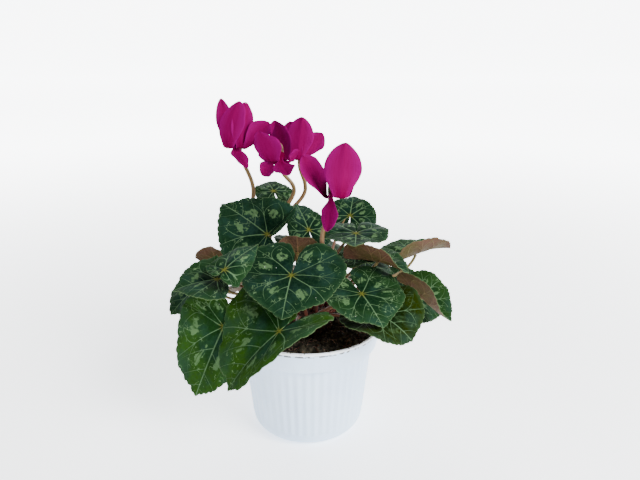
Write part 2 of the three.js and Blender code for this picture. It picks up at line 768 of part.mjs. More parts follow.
function potGeometry() {
  const n = POT_COLUMNS;
  const arc = [0, 30, 60, 90].map((angle) => {
    const turn = degrees(angle);
    const radius = BODY_BOTTOM_RADIUS - BOTTOM_FILLET * (1 - Math.sin(turn));
    return [radius, BOTTOM_FILLET * (1 - Math.cos(turn))];
  });
  const collar = POT_HEIGHT - COLLAR_HEIGHT;
  const taper = (BODY_TOP_RADIUS - BODY_BOTTOM_RADIUS) / (collar - BOTTOM_FILLET);
  const rings = [
    ring(0, 0, 1),
    ...arc.map(([radius, height]) => ring(radius, height, n)),
    ring(BODY_BOTTOM_RADIUS + taper * RIB_FADE, BOTTOM_FILLET + RIB_FADE, 2 * POT_RIBS, RIB_DEPTH / 2),
    ring(BODY_TOP_RADIUS - taper * RIB_FADE, collar - RIB_FADE, 2 * POT_RIBS, RIB_DEPTH / 2),
    ring(BODY_TOP_RADIUS, collar - RIB_FADE / 2, n),
    ring(COLLAR_RADIUS, collar, n),
    ring(RIM_RADIUS - LIP_STEP, POT_HEIGHT - LIP_HEIGHT - LIP_STEP / 2, n),
    ring(RIM_RADIUS, POT_HEIGHT - LIP_HEIGHT, n),
    ring(RIM_RADIUS, POT_HEIGHT, n),
    ring(RIM_RADIUS - LIP_HEIGHT, POT_HEIGHT, n),
    ring(COLLAR_RADIUS - WALL, collar + 1.5, n),
    ring(BODY_TOP_RADIUS - WALL, collar - 2, n),
    ring(BODY_BOTTOM_RADIUS - WALL, BOTTOM_FILLET + 1, n),
    ring(BODY_BOTTOM_RADIUS - BOTTOM_FILLET, WALL, n),
    ring(0, WALL, 1),
  ];
  let pot = toSolid(skinOfRings(rings));
  for (let k = 0; k < DRAIN_HOLES; k += 1) {
    const turn = (2 * Math.PI * k) / DRAIN_HOLES;
    const hole = new THREE.CylinderGeometry(DRAIN_RADIUS, DRAIN_RADIUS, 4 * WALL, 8);
    hole.rotateX(Math.PI / 2);
    hole.translate(DRAIN_CIRCLE * Math.cos(turn), DRAIN_CIRCLE * Math.sin(turn), 0);
    pot = pot.subtract(toSolid(hole));
  }
  return fromSolid(pot);
}

// Soil and tuber

// Two crossed sets of waves make the soil's surface uneven.
function soilHeight(x, y) {
  const lumps = Math.sin(x / 7.3 + 1.1) * Math.cos(y / 6.1);
  const ridges = 0.5 * Math.sin((x + 2 * y) / 4.7);
  return SOIL_LEVEL + SOIL_LUMP * (lumps + ridges);
}

function soilGeometry() {
  const n = SOIL_COLUMNS;
  const collar = POT_HEIGHT - COLLAR_HEIGHT;
  const lift = (points) => points.map(([x, y]) => [x, y, soilHeight(x, y)]);
  const rings = [
    ring(0, WALL + GAP, 1),
    ring(BODY_BOTTOM_RADIUS - BOTTOM_FILLET - GAP, WALL + GAP, n),
    ring(BODY_BOTTOM_RADIUS - WALL - GAP, BOTTOM_FILLET + 1, n),
    ring(BODY_TOP_RADIUS - WALL - GAP, collar - 2, n),
    ring(COLLAR_RADIUS - WALL - GAP, collar + 1.5, n),
    ring(SOIL_RADIUS, SOIL_LEVEL - 2.5, n),
    lift(ring(SOIL_RADIUS - 2.5, 0, n)),
    lift(ring(42, 0, n)),
    lift(ring(26, 0, n)),
    lift(ring(0, 0, 1)),
  ];
  return fromSolid(toSolid(skinOfRings(rings)).subtract(toSolid(tuberGeometry(GAP))));
}

function tuberGeometry(extra) {
  const ball = new THREE.SphereGeometry(1, 14, 8).rotateX(Math.PI / 2);
  ball.scale(TUBER_RADIUS + extra, TUBER_RADIUS + extra, TUBER_HALF_HEIGHT + extra);
  return ball.translate(0, 0, TUBER_CENTRE);
}

const leafMaterial = new THREE.MeshStandardMaterial({ color: 0x2f5137, roughness: 0.5, metalness: 0 });
const potMaterial = new THREE.MeshStandardMaterial({ color: 0xe1e7ed, roughness: 0.45, metalness: 0 });
const soilMaterial = new THREE.MeshStandardMaterial({ color: 0x2a211c, roughness: 0.95, metalness: 0 });
const tuberMaterial = new THREE.MeshStandardMaterial({ color: 0x5a3a2a, roughness: 0.85, metalness: 0 });
const petalMaterial = new THREE.MeshStandardMaterial({ color: 0xc0057a, roughness: 0.6, metalness: 0 });
const stemMaterial = new THREE.MeshStandardMaterial({ color: 0x8a4a33, roughness: 0.6, metalness: 0 });

const plant = new THREE.Group();
plant.add(named("pot", potGeometry(), potMaterial));
plant.add(named("soil", soilGeometry(), soilMaterial));
plant.add(named("tuber", tuberGeometry(0), tuberMaterial));

leaves.forEach((leaf) => {
  leaf.grid = bladeGrid(leaf);
  registerBlade(leaf, leaf.grid);
});

BLOOMS.forEach((bloom, index) => {
  bloom.rootDistance = STEM_ROOTS;
  const frame = bloomFrame(bloom);
  const name = `bloom_${index + 1}`;
  const petals = bloom.petals.map((petal) => petalSolid(frame, { ...PETAL_FORM, ...petal }));
  const corolla = petals.reduce((whole, petal) => whole.add(petal), corollaTube(frame));
  plant.add(named(`${name}_petals`, fromSolid(corolla), petalMaterial));
  const ways = waysOf((bend, lift) => stemPath(bloom, frame, bend, lift));
  const { way } = clearestWay(ways, STEM_RADIUS, bloom);
  const stem = toSolid(rod(way, STEM_RADIUS, STEM_SIDES, STEM_STEPS)).add(calyx(frame));
  plant.add(named(`${name}_stem`, fromSolid(stem), stemMaterial));
});

leaves.forEach((leaf, index) => {
  const stalk = clearestWay(waysOf((bend, lift) => stalkPath(leaf, bend, lift)), STALK_RADIUS, leaf);
  const blade = toSolid(bladeGeometry(leaf, leaf.grid));
  const solid = blade.add(toSolid(rod(stalk.way, STALK_RADIUS, STALK_SIDES, STALK_STEPS)));
  plant.add(named(`leaf_${String(index + 1).padStart(2, "0")}`, fromSolid(solid), leafMaterial));
});

export default plant;
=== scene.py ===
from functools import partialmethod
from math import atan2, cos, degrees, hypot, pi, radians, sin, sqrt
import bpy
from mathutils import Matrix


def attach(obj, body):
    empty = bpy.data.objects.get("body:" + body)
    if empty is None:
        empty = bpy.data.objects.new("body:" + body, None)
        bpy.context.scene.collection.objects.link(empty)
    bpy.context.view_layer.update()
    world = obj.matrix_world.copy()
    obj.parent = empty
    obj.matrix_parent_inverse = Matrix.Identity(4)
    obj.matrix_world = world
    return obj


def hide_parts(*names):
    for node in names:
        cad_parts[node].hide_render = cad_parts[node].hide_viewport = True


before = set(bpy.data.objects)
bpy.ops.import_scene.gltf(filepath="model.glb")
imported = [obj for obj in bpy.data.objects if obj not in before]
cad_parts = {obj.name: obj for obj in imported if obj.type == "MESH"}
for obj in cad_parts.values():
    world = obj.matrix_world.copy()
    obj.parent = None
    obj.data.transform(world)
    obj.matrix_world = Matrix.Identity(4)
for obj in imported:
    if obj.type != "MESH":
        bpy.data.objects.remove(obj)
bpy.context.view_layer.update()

# A potted cyclamen in bloom: fine surfaces and looks for the pot, the soil, the tuber, the leaves
# and the blooms. Shapes are worked out in millimetres, +Z up, and seen from -Y, so a heading of
# -90 degrees points at the viewer. Blender gets them in metres.

from types import SimpleNamespace

import bpy
import numpy as np

MM = 0.001
BODY = "root"
GAP = 0.3
NEAR_AXIS = 0.05

POT_HEIGHT = 93
POT_RIBS = 48
POT_COLUMNS = 8 * POT_RIBS
RIB_DEPTH = 0.7
RIB_FADE = 2.5
WALL = 1.5
RIM_RADIUS = 61
COLLAR_LEVEL = POT_HEIGHT - 18
COLLAR_RADIUS = 57.5
LIP_HEIGHT = 2
LIP_LEVEL = POT_HEIGHT - LIP_HEIGHT
BODY_TOP_RADIUS = 53
BODY_BOTTOM_RADIUS = 46.3
BOTTOM_FILLET = 10.7
DRAIN_HOLES = 6
DRAIN_RADIUS = 4
DRAIN_CIRCLE = 25

SOIL_LEVEL = 88
SOIL_RADIUS = 56.8
SOIL_LUMP = 1.4
SOIL_CRUMBS = 900
RIM_CRUMBS = 150
FIBRES = 170
TUBER_RADIUS = 22
TUBER_HALF_HEIGHT = 11
TUBER_SIZE = np.array([TUBER_RADIUS, TUBER_RADIUS, TUBER_HALF_HEIGHT])
TUBER_CENTRE = 91
STEM_ROOTS = 5
STEM_RISE = 12
INNER_ROOTS = 11.5
OUTER_ROOTS = 17.5
INNER_LEAF_REACH = 45

BLADE_THICKNESS = 0.62
SINUS_HALF_ANGLE = 4
TIP_SPREAD = 16
MARGIN_WAVES = 5
FOLD_RADIUS = 7
TEETH = 46
TOOTH_DEPTH = 0.024
STALK_RADIUS = 1.3
STALK_SLANT = 0.5
STALK_RISE = 0.4
STALK_ARRIVAL = 0.35
STALK_EASING = 0.7
PETAL_THICKNESS = 0.5
PETAL_TURN = 9
PETAL_ROOT = 1.5
TUBE_LENGTH = 8
TUBE_WALL = 1
MOUTH_RADIUS = 5.2
TUBE_END_RADIUS = 3.6
CALYX_RADIUS = 4.4
CALYX_LOBES = 5
STEM_RADIUS = 1.9


# Camera and light

CAMERA_PLACE = (0.0105, -0.452, 0.315)
CAMERA_LENS = 34.2
CAMERA_SENSOR = 36
CAMERA_DIP = 18.9
LAMP_AIM = (0, 0, 0.12)
LAMPS = {
    "key_light": dict(place=(1.1, -0.9, 1.2), size=0.9, watts=84),
    "fill_light": dict(place=(-1.3, -0.9, 0.9), size=1.4, watts=4),
    "back_light": dict(place=(-0.3, 1.3, 1.5), size=1.4, watts=26),
}
SKY_TINT = (0.93, 0.96, 1, 1)
SKY_STRENGTH = 0.25


def add_object(name, data):
    thing = bpy.data.objects.new(name, data)
    bpy.context.scene.collection.objects.link(thing)
    return thing


def add_camera():
    lens = bpy.data.cameras.new("camera")
    lens.lens = CAMERA_LENS
    lens.sensor_width = CAMERA_SENSOR
    camera = add_object("camera", lens)
    camera.location = CAMERA_PLACE
    camera.rotation_euler = (radians(90 - CAMERA_DIP), 0, 0)
    bpy.context.scene.camera = camera


def add_lamp(name, place, size, watts):
    lamp = bpy.data.lights.new(name, "AREA")
    lamp.size = size
    lamp.energy = watts
    thing = add_object(name, lamp)
    thing.location = place
    x, y, z = np.subtract(LAMP_AIM, place)
    thing.rotation_euler = (atan2(hypot(x, y), -z), 0, atan2(-x, y))


def add_studio():
    for name, lamp in LAMPS.items():
        add_lamp(name, **lamp)
    world = bpy.data.worlds.new("studio")
    world.use_nodes = True
    sky = world.node_tree.nodes["Background"]
    sky.inputs["Color"].default_value = SKY_TINT
    sky.inputs["Strength"].default_value = SKY_STRENGTH
    bpy.context.scene.world = world


# Fields: numbers, vectors and colours in a material's node tree, written as formulas. A tuple is a
# colour as a screen shows it, with red, green and blue from 0 to 255.

def screen_colour(*parts):
    linear = [c / 12.92 if c < 0.04 else ((c + 0.055) / 1.055) ** 2.4 for c in np.divide(parts, 255)]
    return (*linear, 1)


def feed(tree, value, entry):
    if isinstance(value, Field):
        tree.links.new(value.socket, entry)
    else:
        entry.default_value = screen_colour(*value) if isinstance(value, tuple) else value


def add_node(tree, kind, output, inputs, **settings):
    """Adds a node with its settings, feeds its inputs and gives one of its outputs."""
    node = tree.nodes.new("ShaderNode" + kind)
    for name, value in settings.items():
        setattr(node, name, value)
    for entry, value in inputs.items():
        feed(tree, value, node.inputs[entry])
    return Field(tree, node.outputs[output])


class Field:
    def __init__(self, tree, socket):
        self.tree = tree
        self.socket = socket

    def math(self, operation, *others):
        return add_node(self.tree, "Math", 0, dict(enumerate((self, *others))), operation=operation)

    __add__ = partialmethod(math, "ADD")
    __sub__ = partialmethod(math, "SUBTRACT")
    __rsub__ = partialmethod(math, "MULTIPLY_ADD", -1)
    __mul__ = partialmethod(math, "MULTIPLY")
    __truediv__ = partialmethod(math, "DIVIDE")
    size = partialmethod(math, "ABSOLUTE")
    most = partialmethod(math, "MAXIMUM")

    def rise(self, low, high):
        """Goes smoothly from 0 to 1 as this field goes from low to high."""
        inputs = {"Value": self, "From Min": low, "From Max": high}
        return add_node(self.tree, "MapRange", "Result", inputs, interpolation_type="SMOOTHSTEP")

    def fall(self, low, high):
        """Goes smoothly from 1 to 0 as this field goes from low to high."""
        return 1 - self.rise(low, high)


class Look:
    """A material of one base colour, which paint lays others over by shares from 0 to 1."""

    def __init__(self, name, base):
        self.material = bpy.data.materials.new(name)
        self.material.use_nodes = True
        self.tree = self.material.node_tree
        self.shader = self.tree.nodes["Principled BSDF"]
        self.base = base

    def split(self, field):
        node = self.tree.nodes.new("ShaderNodeSeparateXYZ")
        self.tree.links.new(field.socket, node.inputs[0])
        return [Field(self.tree, output) for output in node.outputs]

    def attribute(self, name):
        return self.split(add_node(self.tree, "Attribute", "Vector", {}, attribute_name=name))

    def place(self):
        """The place on the object, in metres."""
        return add_node(self.tree, "TexCoord", "Object", {})

    def vector(self, x, y, z):
        return add_node(self.tree, "CombineXYZ", 0, {0: x, 1: y, 2: z})

    def noise(self, vector, scale, detail=2):
        inputs = {"Vector": vector, "Scale": scale, "Detail": detail}
        return add_node(self.tree, "TexNoise", "Fac", inputs)

    def streaks(self, across, along, detail):
        """Noise with one scale across z and another along it."""
        x, y, z = self.split(self.place())
        return self.noise(self.vector(x * across, y * across, z * along), 1, detail)

    def cells(self, vector, scale, feature="F1", output="Distance"):
        inputs = {"Vector": vector, "Scale": scale}
        return add_node(self.tree, "TexVoronoi", output, inputs, feature=feature)

    def specks(self, vector, scale, rarity):
        """Round specks in cells, in those whose own random number lies above a rarity."""
        number = self.split(self.cells(vector, scale, output="Color"))[0]
        return self.cells(vector, scale).fall(0.04, 0.07) * number.rise(rarity, rarity + 0.01)

    def mix(self, share, first, second):
        return add_node(self.tree, "Mix", 2, {0: share, 6: first, 7: second}, data_type="RGBA")

    def paint(self, share, tint):
        self.base = self.mix(share, self.base, tint)

    def finish(self, roughness, relief, shine):
        """Sets the roughness, a relief given in millimetres and the strength of reflections."""
        feed(self.tree, self.base, self.shader.inputs["Base Color"])
        feed(self.tree, roughness, self.shader.inputs["Roughness"])
        self.shader.inputs["Specular IOR Level"].default_value = shine
        bump = add_node(self.tree, "Bump", "Normal", {"Distance": MM, "Height": relief})
        feed(self.tree, bump, self.shader.inputs["Normal"])
        return self.material


# Leaf surfaces. leaf_place holds the turn around the junction, counted in main veins, the reach
# from 0 at the junction to 1 at the margin, and the distance from the junction. leaf_flat holds
# the flat distances along and across the midrib and from the margin. leaf_kind holds the leaf's
# own number, the tone of its green, from 0 for blue-green by 1 for yellow-green to 2 for olive,
# and its length. The tone is painted light: the steep leaves that face the viewer get the yellower
# tones, standing in for light shining through them and for the grey sheen that they lack.
# Distances are in millimetres.

VEIN_ANGLES = [0, 50, 92, 134, 180]
VEIN_STEP = 0.77


def line(distance, half_width):
    return distance.fall(half_width * 0.5, half_width * 1.5)


def vein_lines(look):
    """The strong veins and the fine net between them, each from 0 to 1."""
    turn, reach, radius = look.attribute("leaf_place")
    along, across, _ = look.attribute("leaf_flat")
    seed, _, length = look.attribute("leaf_kind")
    flat = look.vector(along, across, seed)
    ahead = along / length
    aside = across.size() / length
    width = radius * VEIN_STEP
    nearest = turn.math("ROUND")
    offset = (turn - nearest).size()
    taper = 0.42 - reach * 0.3

    on_blade = along.rise(-1.5, 0.5)
    midrib = line(across.size(), 0.6 - ahead * 0.36) * on_blade

    beside_midrib = turn.size().rise(0.5, 0.6)
    main = line(offset * width, taper) * beside_midrib

    fork = (nearest * 2.4 + seed).math("SINE") * 0.06 + 0.5
    way_out = ((reach - fork) / (0.87 - fork)).math("MAXIMUM", 0).math("MINIMUM", 1)
    spread = way_out.math("POWER", 1.5) * 0.5
    forked = (reach - fork).rise(0, 0.02) * reach.fall(0.86, 0.9)
    branches = line((offset - spread).size() * width * 0.7, taper * 0.8) * forked * beside_midrib

    slope = aside * 0.5 + aside * aside * 1.4
    shift = across.math("SIGN") * 0.03
    pinnate = midrib
    for start, least in ((0.3, 0.4), (0.56, 0.33), (0.76, 0.2)):
        away = (ahead - slope - shift - start).size() * length * 0.85
        pinnate = pinnate.most(line(away, taper * 0.9) * aside.fall(least * 0.85, least))
    pinnate = pinnate * turn.size().fall(0.85, 0.95) * on_blade

    ladder = ((reach - offset * 0.8) * 8 + seed).math("FRACT") - 0.5
    rungs = line(ladder.size() * length * 0.12, taper * 0.55) * offset.fall(0.3, 0.45)
    patchy = look.noise(flat, 0.14, 1).rise(0.42, 0.6)
    net = line(look.cells(flat, 0.3, "DISTANCE_TO_EDGE"), 0.05)

    strong = midrib.most(main).most(branches * 0.85).most(pinnate * 0.85)
    fine = (rungs * patchy * 0.8).most(net * 0.45)
    return strong, fine


def chance(sector, seed, turn):
    """A number from 0 to 1 for each sector between two veins."""
    return ((sector * 12.99 + seed * 4.13 + turn).math("SINE") * 437.58).math("FRACT")


def silver_patches(look, flat):
    """Brushed pale patches between the main veins, one to most sectors, and thin squiggles."""
    turn, reach, _ = look.attribute("leaf_place")
    seed, _, _ = look.attribute("leaf_kind")
    sector = turn.math("FLOOR")
    centre = chance(sector, seed, 0) * 0.16 + 0.46
    aside = turn - sector - 0.5 + (chance(sector, seed, 1) - 0.5) * 0.2
    stretch = chance(sector, seed, 2)
    chosen = chance(sector, seed, 3).rise(0.2, 0.22)
    across = aside / (stretch * 0.24 + 0.1)
    along = (reach - centre) / (0.17 - stretch * 0.1)
    ragged = look.noise(flat, 0.3, 4) - 0.5
    distance = (across * across + along * along).math("SQRT") + ragged * 3
    brush = look.noise(look.vector(turn * 9, reach * 5, seed), 1, 3)
    patch = distance.fall(0.7, 1.05) * brush.rise(0.34, 0.52) * chosen

    thread = line((look.noise(flat, 0.22, 1.5) - 0.5).size(), 0.011)
    here = look.noise(look.vector(seed, *look.split(flat)[:2]), 0.16, 1)
    threads = thread * here.rise(0.52, 0.6) * reach.rise(0.3, 0.5)
    return patch, threads


def leaf_upper_material():
    look = Look("leaf_upper", (5, 23, 14))
    _, reach, radius = look.attribute("leaf_place")
    along, across, margin = look.attribute("leaf_flat")
    seed, fresh, _ = look.attribute("leaf_kind")
    flat = look.vector(along, across, seed)
    strong, fine = vein_lines(look)
    patch, threads = silver_patches(look, flat)

    zone = (reach + (look.noise(flat, 0.09, 3) - 0.5) * 0.7).rise(0.35, 0.8)
    mottle = look.noise(flat, 0.45, 3)
    painted_sheen = look.noise(look.vector(across, along, seed), 0.06)
    olive = fresh.rise(1, 2)
    shown = 1 - olive * 0.65
    look.paint(zone, (14, 35, 20))
    # Yellower and olive greens by the leaf's tone: painted light on the steep leaves that face the viewer,
    # for light shining through them.
    look.paint(fresh, look.mix(zone, (14, 42, 8), (36, 64, 10)))
    look.paint(olive, look.mix(zone, (8, 22, 2), (24, 34, 0)))
    look.paint(mottle.rise(0.4, 0.75) * 0.35, (27, 48, 29))
    # Broad blue-grey patches: a painted sheen, standing in for soft reflections on the leaf.
    look.paint(painted_sheen.rise(0.44, 0.68) * 0.5, (28, 50, 44))
    look.paint(fine * 0.3, (42, 68, 42))
    look.paint(patch * shown * 0.85, (70, 96, 62))
    look.paint(strong * 0.9, look.mix(radius.fall(1, 6), (74, 100, 70), (86, 88, 32)))
    look.paint(threads * shown * 0.7, (94, 120, 84))
    look.paint(margin.fall(0.4, 3.2) * 0.3, (44, 68, 42))
    look.paint(margin.fall(0.05, 0.35) * 0.7, (88, 108, 72))
    look.paint(look.specks(flat, 0.22, 0.86) * 0.9, (200, 206, 196))

    puckers = 1 - look.cells(flat, 0.3, "SMOOTH_F1")
    relief = puckers * 0.22 + look.noise(flat, 2.2) * 0.08 - strong * 0.28 - fine * 0.1
    return look.finish(mottle * 0.14 + 0.46, relief, shine=0.006)


def leaf_under_material():
    look = Look("leaf_under", (58, 52, 28))
    _, reach, radius = look.attribute("leaf_place")
    along, across, margin = look.attribute("leaf_flat")
    seed, fresh, _ = look.attribute("leaf_kind")
    strong, fine = vein_lines(look)
    broad = look.noise(look.vector(along, across, seed * 3.1), 0.07, 3)
    grain = look.noise(look.vector(along, across, seed), 1.6)
    look.paint((broad + reach * 0.2).rise(0.48, 0.78), (70, 48, 38))
    # A paler underside by the leaf's tone, painted light like the tone on the upper side.
    look.paint(fresh * 0.5, (78, 70, 42))
    look.paint(fine * 0.4, (94, 78, 56))
    look.paint(strong * 0.7, look.mix(radius.rise(6, 26), (98, 72, 52), (102, 94, 58)))
    look.paint(margin.fall(0.1, 0.8) * 0.5, (88, 80, 56))
    relief = strong * 0.4 + fine * 0.12 + grain * 0.1
    return look.finish(grain * 0.1 + 0.5, relief, shine=0.04)


def leaf_stalk_material():
    look = Look("leaf_stalk", (88, 46, 36))
    _, way, _ = look.attribute("leaf_place")
    streaks = look.streaks(900, 90, 3)
    look.paint((way + (streaks - 0.5) * 0.5).rise(0.1, 0.9), (88, 78, 40))
    look.paint(streaks.rise(0.5, 0.75) * 0.6, (108, 66, 48))
    return look.finish(streaks * 0.15 + 0.42, streaks * 0.12, shine=0.25)


# Bloom surfaces. petal_place holds how far across and along its petal a point is, from -1 to 1
# and from 0 to 1, and the petal's own number.

def petal_material():
    look = Look("petal", (76, 0, 34))
    across, along, seed = look.attribute("petal_place")
    streaks = look.noise(look.vector(across * 5, along * 1.3, seed), 1)
    threads = look.noise(look.vector(across * 26, along * 2, seed), 1)
    edge = across.size() + (along - 0.5) * 0.3 + (streaks - 0.5) * 0.3
    look.paint((along + (streaks - 0.5) * 0.2).rise(0, 0.5), (97, 0, 58))
    look.paint(edge.rise(0.25, 1.05) * 0.8, (104, 0, 74))
    look.paint(threads.rise(0.5, 0.72) * 0.3, (86, 0, 42))
    look.paint(across.size().rise(0.9, 1) * 0.4, (120, 0, 86))
    return look.finish(threads * 0.12 + 0.55, threads * 0.16 + streaks * 0.2, shine=0)


def stem_material():
    look = Look("bloom_stem", (84, 45, 31))
    _, _, height = look.split(look.place())
    streaks = look.streaks(700, 70, 3)
    look.paint((height * 9 + streaks * 0.7).rise(1.3, 2.3), (98, 80, 46))
    look.paint(streaks.rise(0.5, 0.72) * 0.5, (72, 36, 26))
    return look.finish(streaks * 0.12 + 0.42, streaks * 0.1, shine=0.25)


def calyx_material():
    look = Look("calyx", (54, 28, 22))
    blots = look.noise(look.place(), 700, 3)
    look.paint(blots.rise(0.4, 0.62), (84, 56, 34))
    return look.finish(blots * 0.2 + 0.45, blots * 0.25, shine=0.2)


def anther_material():
    look = Look("anther", (168, 96, 40))
    grains = look.noise(look.place(), 2200)
    look.paint(grains.rise(0.4, 0.6), (206, 150, 60))
    return look.finish(grains * 0.2 + 0.6, grains * 0.2, shine=0.3)


# Pot, soil and tuber surfaces

def pot_material():
    look = Look("pot_plastic", (200, 222, 246))
    place = look.place()
    height = look.split(place)[2] / MM
    cloud = look.noise(place, 28, 3)
    flow = look.streaks(260, 30, 2)
    look.paint(cloud.rise(0.35, 0.7), (208, 229, 250))
    look.paint(flow.rise(0.5, 0.8) * 0.25, (186, 206, 230))
    # The lip and the rim's top are painted whiter: a painted highlight where light falls on them.
    look.paint(height.rise(LIP_LEVEL - 0.6, LIP_LEVEL) * 0.8, (240, 242, 244))
    look.paint(look.specks(place, 85, 0.93) * 0.7, (96, 86, 78))
    dusty = height.rise(POT_HEIGHT - 1.2, POT_HEIGHT - 0.2)
    look.paint(look.noise(place, 420, 3).rise(0.6, 0.66) * dusty * 0.9, (70, 56, 46))
    # Dark brown dashes, in patches, along the groove just under the lip.
    under_lip = (height - LIP_LEVEL + 0.8).size().fall(0.7, 1.3)
    under_lip_dashes = look.noise(place, 24, 1).rise(0.42, 0.52) * under_lip
    look.paint(look.noise(place, 330).rise(0.46, 0.52) * under_lip_dashes * 0.9, (44, 36, 30))
    scuffs = look.streaks(60, 400, 3)
    relief = look.noise(place, 1400) * 0.025 + flow * 0.06 + cloud * 0.3
    return look.finish(scuffs.rise(0.45, 0.7) * 0.16 + 0.36, relief, shine=0.4)


def soil_material(name, dark, light):
    look = Look(name, dark)
    place = look.place()
    lumps = look.noise(place, 260, 4)
    bits = look.cells(place, 620)
    fine = look.noise(place, 1500, 3)
    look.paint(lumps.rise(0.35, 0.65), light)
    look.paint(bits.rise(0.3, 0.7) * 0.5, dark)
    look.paint(fine.rise(0.6, 0.72) * 0.5, (86, 64, 48))
    return look.finish(fine * 0.1 + 0.85, lumps * 1.2 + bits * 0.5 + fine * 0.4, shine=0.1)


def fibre_material():
    look = Look("fibre", (84, 58, 48))
    tint = look.noise(look.place(), 90, 3)
    look.paint(tint.rise(0.35, 0.65), (134, 108, 92))
    return look.finish(tint * 0.2 + 0.7, tint * 0.2, shine=0.2)


def tuber_material():
    look = Look("tuber_cork", (48, 30, 23))
    plates = look.cells(look.place(), 240, "DISTANCE_TO_EDGE")
    bark = look.noise(look.place(), 420, 4)
    look.paint(bark.rise(0.35, 0.65), (88, 60, 44))
    look.paint(plates.fall(0, 0.12) * 0.8, (26, 18, 15))
    return look.finish(bark * 0.15 + 0.75, plates.rise(0, 0.2) * 0.6 + bark * 0.6, shine=0.25)


def floor_material():
    """A pale floor that glows more the farther it lies from the plant, up to a white wall."""
    look = Look("floor", (243, 244, 246))
    x, y, _ = look.split(look.place())
    cloud = look.noise(look.place(), 3)
    look.paint(cloud, (246, 248, 250))
    glow = (x * x + y * y).math("SQRT").rise(0.2, 1.6) * 5 + 1.5
    feed(look.tree, glow, look.shader.inputs["Emission Strength"])
    look.shader.inputs["Emission Color"].default_value = (0.97, 0.985, 1, 1)
    return look.finish(cloud * 0.1 + 0.6, cloud * 0.1, shine=0.1)


# Meshes: a piece is gathered from several surfaces, each with its own slot and fields

class Pile:
    def __init__(self, *fields):
        self.points = []
        self.faces = []
        self.slots = []
        self.count = 0
        self.fields = {name: [] for name in fields}

    def add(self, points, faces, slot=0, **fields):
        """Adds points as rows of x, y, z in millimetres and faces as lists of their numbers."""
        self.faces += [[self.count + corner for corner in face] for face in faces]
        self.slots += [slot] * len(faces)
        self.points.append(points)
        for name, kept in self.fields.items():
            kept.append(np.broadcast_to(fields.get(name, (0, 0, 0)), points.shape))
        self.count += len(points)

    def add_sheet(self, upper, lower, faces, border, slots, **fields):
        """Adds a thin body: the same faces above and below, joined round their border."""
        here = [self.count + corner for corner in border]
        self.add(upper, faces, slots[0], **fields)
        self.add(lower, [face[::-1] for face in faces], slots[1], **fields)
        below = len(upper)
        for a, b in zip(here, here[1:] + here[:1]):
            self.faces.append([a, a + below, b + below, b])
            self.slots.append(slots[0])

    def thing(self, name, materials=(), smooth=True):
        """Makes an object of all that was added, with a slot for each material."""
        mesh = bpy.data.meshes.new(name)
        mesh.from_pydata((np.concatenate(self.points) * MM).tolist(), [], self.faces)
        mesh.polygons.foreach_set("use_smooth", [smooth] * len(self.faces))
        mesh.polygons.foreach_set("material_index", self.slots)
        for field, kept in self.fields.items():
            layer = mesh.attributes.new(field, "FLOAT_VECTOR", "POINT")
            layer.data.foreach_set("vector", np.concatenate(kept).astype(np.float32).ravel())
        for material in materials:
            mesh.materials.append(material)
        mesh.update()
        return add_object(name, mesh)

    def piece(self, name, materials, record_slot, *nodes):
        """Makes the piece, which stands for the nodes."""
        piece = self.thing(name, materials)
        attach(piece, BODY)
        if nodes:
            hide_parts(*nodes)
        return piece


def grid_faces(rows, columns, closed=False):
    """Four-sided faces between rows of points; closed joins the last column to the first."""
    faces = []
    for r in range(rows - 1):
        for c in range(columns if closed else columns - 1):
            a, b = r * columns + c, r * columns + (c + 1) % columns
            faces.append([a, a + columns, b + columns, b])
    return faces


def grid_border(rows, columns):
    """Down the first column of a grid, along its last row and up its last column."""
    last = (rows - 1) * columns
    down = list(range(0, last, columns))
    return down + list(range(last, last + columns)) + [row + columns - 1 for row in down[::-1]]


def skin_of(rings, capped=False):
    """The points and faces of a skin through rings of points, with flat ends if capped."""
    rows, columns = len(rings), len(rings[0])
    faces = [face[::-1] for face in grid_faces(rows, columns, closed=True)]
    if capped:
        last = (rows - 1) * columns
        faces += [list(range(columns))[::-1], list(range(last, last + columns))]
    return np.concatenate(rings), faces


def round_turns(count):
    return np.linspace(0, 2 * pi, count, endpoint=False)


def ring(reach, height, turns):
    """Points round the axis; reach and height are one number each, or one for each turn."""
    return np.stack([reach * np.cos(turns), reach * np.sin(turns), height + 0 * turns], axis=1)


def lathe(profile, sides, capped=False):
    """The skin of a profile of radius and height turned round +Z, open at its ends unless capped."""
    turns = round_turns(sides)
    return skin_of([ring(reach, height, turns) for reach, height in profile], capped)


def tube(path, radii, sides):
    """The skin of a round rod along a path, with both ends closed, and its points' way along it."""
    tangents = unit(np.gradient(path, axis=0))
    across = unit(np.cross(tangents[0], [0.3, 0.2, 1]))
    turns = round_turns(sides)
    rings = []
    for place, tangent, radius in zip(path, tangents, radii):
        across = unit(across - tangent * (across @ tangent))
        beside = np.cross(tangent, across)
        rings.append(place + radius * (np.outer(np.cos(turns), across) + np.outer(np.sin(turns), beside)))
    return (*skin_of(rings, capped=True), np.repeat(np.linspace(0, 1, len(path)), sides))


def unit(vectors):
    return vectors / np.linalg.norm(vectors, axis=-1, keepdims=True)


def sheet_normals(place, along, across, step):
    """The normals of a sheet whose points place works out from along and across."""
    ahead = place(along + step, across) - place(along - step, across)
    aside = place(along, across + step) - place(along, across - step)
    return unit(np.cross(ahead, aside))


def bend_strips(length, steps, angle_at):
    """How far ahead and aside strips get that turn as they go, and their angle at the end."""
    ahead, aside = 0, 0
    for i in range(steps):
        angle = angle_at(length * (i + 0.5) / steps)
        ahead = ahead + np.cos(angle) * length / steps
        aside = aside + np.sin(angle) * length / steps
    return ahead, aside, angle


